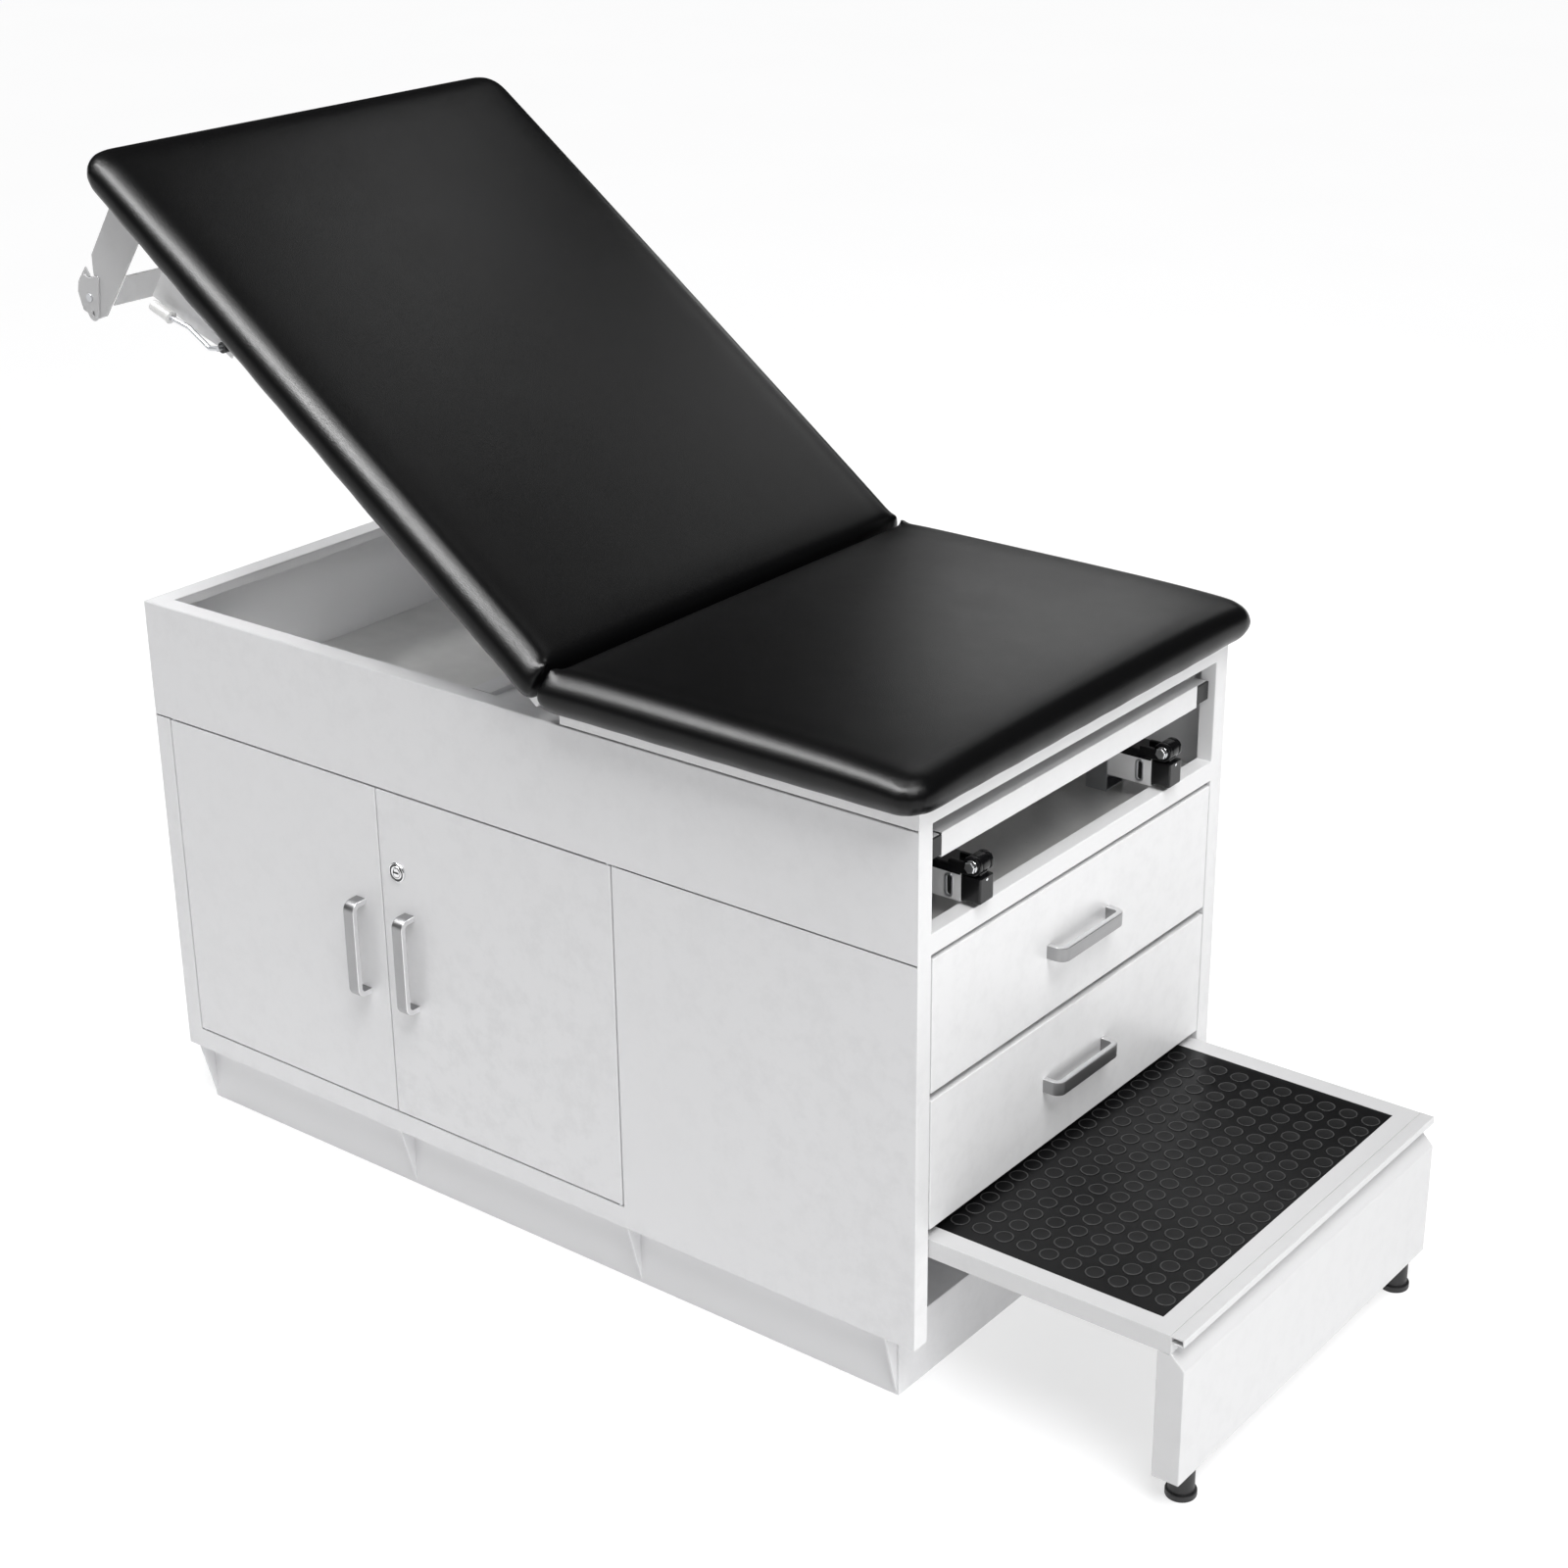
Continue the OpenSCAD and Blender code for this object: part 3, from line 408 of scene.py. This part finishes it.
def softened(node, width):
    """A copy of a CAD node with its sharp outer edges rounded."""
    obj = new_object(node + "_v", frame["nodes"][node].data.copy(), material_of(node))
    bm = bmesh.new()
    bm.from_mesh(obj.data)
    bmesh.ops.remove_doubles(bm, verts=bm.verts, dist=WELD)
    bmesh.ops.dissolve_limit(bm, angle_limit=SEAM_ANGLE, verts=bm.verts, edges=bm.edges)
    weigh_edges(bm, width)
    bm.to_mesh(obj.data)
    bm.free()
    bevel = obj.modifiers.new("bevel", "BEVEL")
    bevel.width = width
    bevel.segments = 2
    bevel.limit_method = "WEIGHT"
    bevel.use_clamp_overlap = False
    apply_modifiers(obj)
    flatten_faces(obj)
    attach(obj, BODY[node])
    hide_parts(node)


# ---------- metalwork, mats and small parts ----------
ROUNDED = [  # the radius of the outer edges in mm, and the CAD nodes that have it
    (1.4, ["near_lower_face", "near_upper_panel", "far_side_panel", "head_end_panel", "foot_frame",
           "seat_platform", "left_door", "right_door", "upper_drawer_front", "lower_drawer_front",
           "step_frame", "step_apron", "left_door_handle", "right_door_handle", "upper_drawer_handle",
           "lower_drawer_handle", "step_feet", "leg_rest_frame"]),
    (2.6, ["near_stirrup_block", "far_stirrup_block", "near_stirrup_head", "far_stirrup_head"]),
    (1.0, ["plinth", "base_pan", "cupboard_floor", "middle_shelf", "bulkhead", "hinge_deck",
           "back_platform", "roll_brackets", "roll_crossbar", "roll_latches", "hinge_brackets",
           "leg_rest_caps", "upper_drawer_box", "lower_drawer_box"]),
    (0.6, ["leg_rest_guides", "drawer_slides", "step_guides", "stirrup_guides", "lock_cylinder",
           "hinge_pins", "back_pins", "lever_bushes", "lever_sleeve", "step_rollers", "door_pivots"]),
    (3.5, ["near_stirrup_arm", "far_stirrup_arm"]),
]
KEPT = ["seat_board", "back_board", "release_lever", "gas_cylinder", "gas_rod"]  # shown as they are
SHARP_ANGLE = 35  # degrees


def refinished(node):
    """Give a CAD node its material, without changing its shape."""
    mesh = frame["nodes"][node].data
    mesh.materials.clear()
    mesh.materials.append(material_of(node))
    mesh.shade_smooth()
    mesh.set_sharp_from_angle(angle=math.radians(SHARP_ANGLE))


def highlight_sides(node, axis):
    """Give a handle's narrow sides, which face along an axis, a paler metal as a painted highlight."""
    mesh = bpy.data.objects[node + "_v"].data
    mesh.materials.append(EDGE_HIGHLIGHT_METAL)
    for face in mesh.polygons:
        if abs(face.normal[axis]) > 0.6:
            face.material_index = 1


for radius, rounded in ROUNDED:
    for node in rounded:
        softened(node, radius * MM)
for node in KEPT:
    refinished(node)
for node in ("left_door_handle", "right_door_handle"):
    highlight_sides(node, 0)
for node in ("upper_drawer_handle", "lower_drawer_handle"):
    highlight_sides(node, 2)


# ---------- turned parts, studs and rims ----------
TOWARDS_NEAR = Matrix.Rotation(math.radians(90), 4, "X")  # turns +z to -y
TOWARDS_FOOT = Matrix.Rotation(math.radians(90), 4, "Y")  # turns +z to +x


def turned(bm, profile, place, segments, stretch=0.0):
    """Revolve (radius, height) pairs in mm round the z axis of a placing matrix. A stretch parts the two
    halves along y, which turns each circle into a slot shape."""
    half = segments // 2
    turns = [(2 * math.pi * k / segments, stretch) for k in range(half + 1)]
    turns += [(2 * math.pi * k / segments, -stretch) for k in range(half, segments + 1)]
    rings = []
    for radius, height in profile:
        points = [Vector((radius * math.cos(a), radius * math.sin(a) + shift, height)) for a, shift in turns]
        rings.append([bm.verts.new(place @ (p * MM)) for p in points])
    count = len(turns)
    for low, high in zip(rings, rings[1:]):
        for i in range(count):
            j = (i + 1) % count
            bm.faces.new((low[i], low[j], high[j], high[i]))


def finished(name, bm, node, material, sharp=SHARP_ANGLE, replace=True):
    """Make a piece of a bmesh, riding with a CAD node and, unless told otherwise, standing for it."""
    bmesh.ops.remove_doubles(bm, verts=bm.verts, dist=0.002 * MM)
    bmesh.ops.dissolve_degenerate(bm, edges=bm.edges, dist=0.001 * MM)
    bmesh.ops.recalc_face_normals(bm, faces=bm.faces)
    mesh = bpy.data.meshes.new(name)
    bm.to_mesh(mesh)
    bm.free()
    obj = new_object(name, mesh, material)
    mesh.shade_smooth()
    mesh.set_sharp_from_angle(angle=math.radians(sharp))
    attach(obj, BODY[node])
    if replace:
        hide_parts(node)


STUD = [(0, -0.8), (12.0, -0.8), (12.0, 0.15), (11.8, 0.55), (11.4, 0.82), (10.9, 0.9), (10.3, 0.85),
        (9.7, 0.66), (8.6, 0.6), (0, 0.62)]
STUD_HEIGHT = 0.9 * MM
STUD_PITCH = 0.0307
FIRST_STUD = 0.0145  # from the mat's outer edge to the middle of the first row
MAT_EDGE = 0.8 * MM  # radius of the sheet's upper edge
MAT_MARGIN = 0.006  # left bare at the two sides
MAT_END_MARGIN = 0.015  # left bare at the two ends together


def coin_mat():
    """Rubber sheet with rounded edges, carrying round studs with a shoulder and a slightly dished top."""
    lo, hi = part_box("step_mat")
    top = hi.z - STUD_HEIGHT
    bm = bmesh.new()
    bmesh.ops.create_cube(bm, size=1.0)
    for v in bm.verts:
        v.co = Vector([lo[k] if v.co[k] < 0 else (hi.x, hi.y, top)[k] for k in range(3)])
    upper = [e for e in bm.edges if all(abs(v.co.z - top) < 1e-6 for v in e.verts)]
    bmesh.ops.bevel(bm, geom=upper, offset=MAT_EDGE, segments=3, affect="EDGES", profile=0.5)
    rows = int((hi.x - lo.x - MAT_END_MARGIN) / STUD_PITCH)
    columns = int((hi.y - lo.y - MAT_MARGIN) / STUD_PITCH)
    for i in range(rows):
        for j in range(columns):
            at = (hi.x - FIRST_STUD - i * STUD_PITCH, (j - (columns - 1) / 2) * STUD_PITCH, top)
            turned(bm, STUD, Matrix.Translation(at), 28)
    finished("step_mat_v", bm, "step_mat", MAT_RUBBER, 40)


LOCK_AT = (-0.181, -0.330, 0.483)  # middle of the lock, on the doors' outer face
ROSETTE = [(9.4, -16), (9.5, -15.6), (9.5, 0), (13.5, 0), (13.5, 1.6), (13.2, 2.4), (12.6, 2.9), (11.9, 3.0),
           (11.5, 2.7), (11.2, 1.4), (9.6, 1.4), (9.2, 2.6), (8.7, 3.0), (7.4, 3.0), (6.8, 2.6), (6.8, -16),
           (9.4, -16)]
# black ring set in the rosette's groove and black slot in the keyhole: painted shade in these recesses,
# given the black plastic material
GROOVE_SHADE = [(8.9, 1.3), (12.0, 1.3), (12.0, 2.6), (8.9, 2.6), (8.9, 1.3)]
KEYHOLE_SHADE = [(0.3, -4), (0.85, -4), (0.85, 3.4), (0.3, 3.4), (0.3, -4)]
KEYHOLE_HALF = 3.6  # mm from the keyhole's middle to the centre of its round ends


def cam_lock():
    """Chrome rosette round the barrel, set through the door, with black pieces in its groove and keyhole as
    painted shade.
    """
    at = Matrix.Translation(LOCK_AT) @ TOWARDS_NEAR
    bm = bmesh.new()
    turned(bm, ROSETTE, at, 48)
    finished("lock_rosette", bm, "lock_body", CHROME)
    # painted shade: black pieces in the groove and in the keyhole
    bm = bmesh.new()
    turned(bm, GROOVE_SHADE, at, 48)
    finished("lock_groove_shade", bm, "lock_body", BLACK_PLASTIC, replace=False)
    bm = bmesh.new()
    turned(bm, KEYHOLE_SHADE, at @ Matrix.Rotation(math.radians(90), 4, "Z"), 16, KEYHOLE_HALF)
    finished("keyhole", bm, "lock_cylinder", BLACK_PLASTIC, replace=False)


STIRRUP_Y = {"near": -0.2045, "far": 0.2045}  # middle line of each arm
SLOT_X, SLOT_Z = 0.595, 0.6435
SLOT_FACE = 0.0175  # from the arm's middle line to its outer face
SLOT_RIM = [(3.0, -1.5), (5.9, -1.5), (5.9, 0.2), (5.5, 0.75), (4.6, 1.0), (3.7, 0.9), (3.1, 0.4),
            (3.0, -1.5)]
SLOT_HALF = 9.0  # mm from the slot's middle to the centre of its round ends
BOLT_X, BOLT_Z = 0.627, 0.675
HEAD_FACE, NUT_FACE = 0.020, 0.008  # from the arm's middle line to the bolt's head and nut
SHANK = [(0, -28), (3.7, -28), (4.0, -27.6), (4.0, 0.1), (7.6, 0.1), (7.8, 0.4), (7.6, 0.8), (0, 0.8)]
BOLT_HEAD = [(0, 0.7), (7.5, 0.7), (7.5, 4.3), (6.5, 5.3), (0, 5.3)]
NUT = [(0, -6.0), (6.8, -6.0), (7.5, -5.3), (7.5, -0.2), (0, -0.2)]
PIN_X, PIN_ASIDE, PIN_Z = 0.6385, 0.007, 0.6585
PIN = [(0, -4), (2.1, -4), (2.1, 0.9), (1.7, 1.3), (0, 1.5)]


def stirrup_details(side):
    """Slot rim, bolt, nut and pin of one stirrup."""
    y = STIRRUP_Y[side]
    bm = bmesh.new()
    turned(bm, SLOT_RIM, Matrix.Translation((SLOT_X, y - SLOT_FACE, SLOT_Z)) @ TOWARDS_NEAR, 32, SLOT_HALF)
    finished(side + "_slot_rim", bm, side + "_stirrup_arm", ZINC, replace=False)
    bm = bmesh.new()
    head = Matrix.Translation((BOLT_X, y - HEAD_FACE, BOLT_Z)) @ TOWARDS_NEAR
    turned(bm, SHANK, head, 32)
    turned(bm, BOLT_HEAD, head @ Matrix.Rotation(math.radians(15), 4, "Z"), 6)
    turned(bm, NUT, Matrix.Translation((BOLT_X, y + NUT_FACE, BOLT_Z)) @ TOWARDS_NEAR, 6)
    finished(side + "_stirrup_bolts_v", bm, side + "_stirrup_bolts", BRIGHT_STEEL)
    bm = bmesh.new()
    turned(bm, PIN, Matrix.Translation((PIN_X, y - PIN_ASIDE, PIN_Z)) @ TOWARDS_FOOT, 20)
    finished(side + "_block_pin", bm, side + "_stirrup_block", BRIGHT_STEEL, replace=False)


coin_mat()
cam_lock()
stirrup_details("near")
stirrup_details("far")


# ---------- cushions ----------
PAD_W, PAD_T = 0.744, 0.055
BACK_LENGTH = 0.922
CROWN = 0.008
PAD_CORNER, HINGE_CORNER = 0.042, 0.026  # corner radii in plan, at the free end and at the hinge end
CORNER_STEPS = 14
SQUARE_EDGE = 0.009  # radius of the hinge end's edges
ROLL_TOP, ROLL_UNDER = 0.037, 0.023  # how far in the rounded edge starts on top and underneath
BELLY = 0.024  # height of the widest line
HINGE = (0.092, 0.767)  # x and z of the backrest's axis
BACK_ANGLE = math.radians(36.5)
LIE = math.tan(BACK_ANGLE / 2)  # lean of the faces that meet at the fold
FOLD_GAP = 0.9 * MM
SHRINK = 0.003  # the pads start this much too small, because they swell
STAPLED = 0.0035  # the cover is held below this height
VOXEL = 0.006
CAP = 0.006  # the most that the cloth may move
FRAMES = 20
EVENING_ROUNDS = 16
PAD_BOTTOM = 0.0115  # height of the pads' undersides above the hinge axis


def outline(length):
    """Points round a pad in plan, each with its outward normal, the corner's diagonal and radius, and how
    much of the hinge end it has. The hinge end is at x = 0 and the free end at x = length."""
    half = PAD_W / 2
    far, near = length - PAD_CORNER, HINGE_CORNER
    corners = [(far, half - PAD_CORNER, PAD_CORNER, 0), (near, half - near, near, 90),
               (near, near - half, near, 180), (far, PAD_CORNER - half, PAD_CORNER, 270)]
    points = []
    for cx, cy, radius, first in corners:
        for k in range(CORNER_STEPS + 1):
            a = math.radians(first + 90 * k / CORNER_STEPS)
            n = Vector((math.cos(a), math.sin(a), 0))
            share = 0.0
            if cx == near:
                t = k / CORNER_STEPS if first == 90 else 1 - k / CORNER_STEPS
                share = t * t * (3 - 2 * t)
            diagonal = Vector((1 if cx == far else -1, 1 if cy > 0 else -1, 0))
            points.append((Vector((cx, cy, 0)) + n * radius, n, diagonal, radius, share))
    return points


def edge_profile(a):
    """Inset and height of the rounded edge at angle a, from straight down to straight up."""
    if a < 0:
        return ROLL_UNDER * (1 - math.cos(a)), BELLY * (1 + math.sin(a))
    return ROLL_TOP * (1 - math.cos(a)), BELLY + (PAD_T - BELLY) * math.sin(a)


def rim_point(a, p, n, diagonal, radius, share):
    """The pad's surface at angle a of its rounded edge, beside one point of the outline."""
    inset, z = edge_profile(a)
    soft = p - n * min(inset, radius) - diagonal * max(0.0, inset - radius)
    # the hinge end stands nearly square, with small rounded edges, and leans with the fold
    rise = (PAD_T - 2 * SQUARE_EDGE) * (a + math.pi / 2) / math.pi
    height = SQUARE_EDGE + rise + SQUARE_EDGE * math.sin(a)
    hard = p - n * SQUARE_EDGE * (1 - math.cos(a))
    lean = (height + PAD_BOTTOM) * LIE + FOLD_GAP
    hard = Vector((hard.x + lean * abs(n.x), hard.y, height))
    return Vector((soft.x, soft.y, z)).lerp(hard, share)


UNDERSIDE = 0.002  # everything below this height belongs to the flat underside


def shrunk(bm, by):
    """Draw the sides and the top in, keeping the top flat and the underside where it is."""
    bm.normal_update()
    moves = [(v, v.normal.copy(), v.co.z > PAD_T - WELD) for v in bm.verts]
    for v, n, on_top in moves:
        if v.co.z > UNDERSIDE:
            v.co -= n * by
        if on_top:
            v.co.z = PAD_T - by


def pad_mesh(name, length):
    """Closed pad form: rolled edges on three sides, slanted where it meets the other pad.
    x runs from the hinge end, z from the underside."""
    bm = bmesh.new()
    rim = outline(length)
    count = len(rim)
    rings = []
    for degrees in range(-90, 91, 10):
        a = math.radians(degrees)
        rings.append([bm.verts.new(rim_point(a, *point)) for point in rim])
    for low, high in zip(rings, rings[1:]):
        for i in range(count):
            j = (i + 1) % count
            bm.faces.new((low[i], low[j], high[j], high[i]))
    bm.faces.new(rings[0][::-1])
    bm.faces.new(rings[-1])
    bmesh.ops.remove_doubles(bm, verts=bm.verts, dist=WELD)
    bmesh.ops.recalc_face_normals(bm, faces=bm.faces)
    shrunk(bm, SHRINK)
    mesh = bpy.data.meshes.new(name)
    bm.to_mesh(mesh)
    bm.free()
    return mesh


def remeshed(obj):
    remesh = obj.modifiers.new("remesh", "REMESH")
    remesh.mode = "VOXEL"
    remesh.voxel_size = VOXEL
    apply_modifiers(obj)


def crowned(obj, length, corner_drop):
    """Raise the middle of the top by CROWN, falling away smoothly to the edges, and draw the free corners
    down by corner_drop."""
    for v in obj.data.vertices:
        high = max(0.0, min(1.0, (v.co.z - 0.3 * PAD_T) / (0.7 * PAD_T)))
        aside = abs(2 * v.co.y / PAD_W)
        middle = max(0.0, 1 - aside ** 2.6) * max(0.0, 1 - abs(2 * v.co.x / length - 1) ** 3.2)
        corner = max(0.0, v.co.x / length) ** 9 * aside ** 6
        v.co.z += high * (CROWN * middle - corner_drop * corner)


def relax(obj):
    smooth = obj.modifiers.new("smooth", "SMOOTH")
    smooth.factor = 0.5
    smooth.iterations = 3
    apply_modifiers(obj)


def positions(obj):
    return np.array([v.co for v in obj.data.vertices])


def evened(obj, move):
    """Spread a movement over the neighbouring points, so no ridge of the cloth solve is left."""
    ends = np.array([e.vertices for e in obj.data.edges])
    neighbours = np.bincount(ends.ravel(), minlength=len(move))[:, None]
    for _ in range(EVENING_ROUNDS):
        total = np.zeros_like(move)
        np.add.at(total, ends[:, 0], move[ends[:, 1]])
        np.add.at(total, ends[:, 1], move[ends[:, 0]])
        move = 0.4 * move + 0.6 * total / neighbours
    return move


def swell(obj):
    """Let air pressure fill the cover while its stapled underside stays on the board."""
    start = positions(obj)
    held = obj.vertex_groups.new(name="held")
    held.add([v.index for v in obj.data.vertices if v.co.z < STAPLED], 1.0, "REPLACE")
    cloth = obj.modifiers.new("cloth", "CLOTH").settings
    cloth.quality = 5
    cloth.time_scale = 0.25
    cloth.use_pressure = True
    cloth.uniform_pressure_force = 4.0
    cloth.tension_stiffness = 60
    cloth.compression_stiffness = 60
    cloth.shear_stiffness = 30
    cloth.bending_stiffness = 10
    cloth.effector_weights.gravity = 0
    cloth.vertex_group_mass = "held"
    for number in range(1, FRAMES + 1):
        scene.frame_set(number)
    apply_modifiers(obj)
    move = positions(obj) - start
    move *= CAP / (CAP + np.linalg.norm(move, axis=1, keepdims=True))
    move = evened(obj, move)
    for v, was, by in zip(obj.data.vertices, start, move):
        v.co = Vector(was + by)
    scene.frame_set(1)


PLEAT_DEPTH, CREASE_DEPTH, PULL_DEPTH = 2.2 * MM, 0.4 * MM, 0.28 * MM


def tailor(obj, length, seed):
    """Pleats gathered under the free corners, and faint pulls along the stapled edge."""
    rng = random.Random(seed)
    phase = [rng.uniform(0, 6.28) for _ in range(6)]
    obj.data.update()
    normals = [v.normal.copy() for v in obj.data.vertices]
    for v, n in zip(obj.data.vertices, normals):
        x, y, z = v.co
        dx = x - (length - PAD_CORNER)
        dy = abs(y) - (PAD_W / 2 - PAD_CORNER)
        under = max(0.0, min(1.0, (1.3 * BELLY - z) / BELLY))
        bottom = min(1.0, z / 0.006)
        amount = 0.0
        if dx > -0.006 and dy > -0.006:
            a = max(0.0, min(math.pi / 2, math.atan2(dy, dx)))
            gather = min(1.0, 1.7 * math.sin(2 * a))
            fold = abs(math.sin(a * 8.5 + phase[0 if y > 0 else 1])) ** 0.6
            amount -= PLEAT_DEPTH * (1 - fold) * gather * under ** 1.2
            side = max(0.0, 1 - abs(z - 0.034) / 0.018)
            amount -= CREASE_DEPTH * math.sin(a * 27 + phase[4]) * gather * side
        run = x if dy > dx else y
        pull = math.sin(run * 88 + phase[5]) + 0.6 * math.sin(run * 37 + phase[3])
        amount -= PULL_DEPTH * under * bottom * pull
        v.co += n * amount


def cushion(name, length, corner_drop, seed):
    """One finished pad, lying with its hinge end at x = 0 and its underside at z = 0."""
    obj = new_object(name, pad_mesh(name, length), VINYL)
    remeshed(obj)
    relax(obj)
    crowned(obj, length, corner_drop)
    swell(obj)
    relax(obj)
    tailor(obj, length, seed)
    for v in obj.data.vertices:
        v.co.x = max(v.co.x, (v.co.z + PAD_BOTTOM) * LIE + FOLD_GAP)
    finer = obj.modifiers.new("finer", "SUBSURF")
    finer.levels = finer.render_levels = 1
    apply_modifiers(obj)
    obj.data.materials.clear()
    obj.data.materials.append(VINYL)
    obj.data.shade_smooth()
    return obj


def upholstered(obj, node):
    """Hide the CAD cushion that the pad stands for, and bake the pad's placing into its mesh."""
    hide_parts(node)
    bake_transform(obj)


seat_lo, seat_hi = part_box("seat_cushion")
seat_pad = cushion("seat_pad", seat_hi.x - HINGE[0], corner_drop=0.012, seed=3)
seat_pad.data.transform(Matrix.Translation((HINGE[0], 0, seat_lo.z)))
upholstered(seat_pad, "seat_cushion")

back_pad = cushion("back_pad", BACK_LENGTH, corner_drop=0.003, seed=8)
raised = Matrix.Translation((HINGE[0], 0, HINGE[1])) @ Matrix.Rotation(BACK_ANGLE, 4, "Y")
turned_round = Matrix.Rotation(math.pi, 4, "Z")
back_pad.data.transform(raised @ Matrix.Translation((0, 0, PAD_BOTTOM)) @ turned_round)
upholstered(back_pad, "back_cushion")


# ---------- studio ----------
FLOOR_HALF = 40
WALL_RADIUS = 38
FLOOR_GLOW, WALL_GLOW = 0.62, 0.96


def matt(name, scale, a, b, specular, glow):
    """A plain pale surface that glows a little, so that it renders almost white."""
    n = Nodes(name)
    n.link(n.mix(n.noise(scale, 2.0), a, b), "Base Color")
    n.set(Roughness=0.9, Specular_IOR_Level=specular, Emission_Color=(1, 1, 1, 1), Emission_Strength=glow)
    return n.material


def lay_floor():
    mesh = bpy.data.meshes.new("floor")
    corners = [(x * FLOOR_HALF, y * FLOOR_HALF, 0) for x, y in ((-1, -1), (1, -1), (1, 1), (-1, 1))]
    mesh.from_pydata(corners, [], [(0, 1, 2, 3)])
    material = matt("floor", 1.5, (0.44, 0.44, 0.443), (0.46, 0.46, 0.463), 0.1, FLOOR_GLOW)
    new_object("floor", mesh, material)


def put_up_wall():
    """A pale wall far behind the floor, which only the camera sees."""
    bm = bmesh.new()
    bmesh.ops.create_cone(bm, segments=96, radius1=WALL_RADIUS, radius2=WALL_RADIUS, depth=2 * WALL_RADIUS)
    mesh = bpy.data.meshes.new("wall")
    bm.to_mesh(mesh)
    bm.free()
    material = matt("wall", 0.2, (0.02, 0.02, 0.02), (0.03, 0.03, 0.03), 0.0, WALL_GLOW)
    wall = new_object("wall", mesh, material)
    wall.visible_diffuse = False
    wall.visible_glossy = False
    wall.visible_transmission = False
    wall.visible_shadow = False


def dim_world(strength):
    world = bpy.data.worlds.new("studio")
    scene.world = world
    world.use_nodes = True
    background = world.node_tree.nodes["Background"]
    background.inputs["Color"].default_value = (1, 1, 1, 1)
    background.inputs["Strength"].default_value = strength


def softbox(name, at, target, size, power, diffuse=True, glossy=True):
    """A rectangular light. One without diffuse only makes highlights, and one without glossy only fills."""
    data = bpy.data.lights.new(name, "AREA")
    data.shape = "RECTANGLE"
    data.size, data.size_y = size
    data.energy = power
    obj = bpy.data.objects.new(name, data)
    scene.collection.objects.link(obj)
    obj.location = at
    obj.visible_camera = False
    obj.visible_diffuse = diffuse
    obj.visible_glossy = glossy
    obj.rotation_euler = (Vector(target) - Vector(at)).to_track_quat("-Z", "Y").to_euler()


def key_light(towards, power, angle):
    """The sun-like main light, whose width in degrees sets how soft the shadows are."""
    data = bpy.data.lights.new("key", "SUN")
    data.energy = power
    data.angle = math.radians(angle)
    obj = bpy.data.objects.new("key", data)
    scene.collection.objects.link(obj)
    obj.rotation_euler = (-Vector(towards)).to_track_quat("-Z", "Y").to_euler()


lay_floor()
put_up_wall()
dim_world(0.02)
softbox("overhead", (0.2, 0.0, 4.0), (0.2, 0, 0), (4.0, 4.0), 38, glossy=False)
softbox("foot_fill", (3.2, -0.9, 0.9), (0.6, 0.0, 0.6), (1.6, 1.6), 25, glossy=False)
softbox("head_fill", (-1.6, -0.28, 2.2), (-0.4, 0.2, 0.65), (0.5, 0.5), 26, glossy=False)
softbox("strip", (-0.9, -1.4, 3.1), (-0.7, -0.4, 0.9), (2.4, 0.7), 140, diffuse=False)
softbox("edge_strip", (0.49, -1.65, 3.09), (0.1, -0.3, 0.9), (1.6, 0.22), 72, diffuse=False)
softbox("far_panel", (0.2, 1.7, 1.95), (0.3, 0, 1.0), (0.8, 1.1), 2.6)
softbox("low_panel", (-0.45, 1.7, 1.55), (0.5, 0.2, 0.83), (0.6, 0.5), 1.7, diffuse=False)
softbox("high_panel", (-0.4, 1.5, 2.9), (-0.4, 0, 1.2), (0.9, 0.6), 3, diffuse=False)
key_light((0.40, -0.22, 0.89), 2.7, 35)

scene.view_settings.view_transform = "Standard"
scene.view_settings.look = "None"
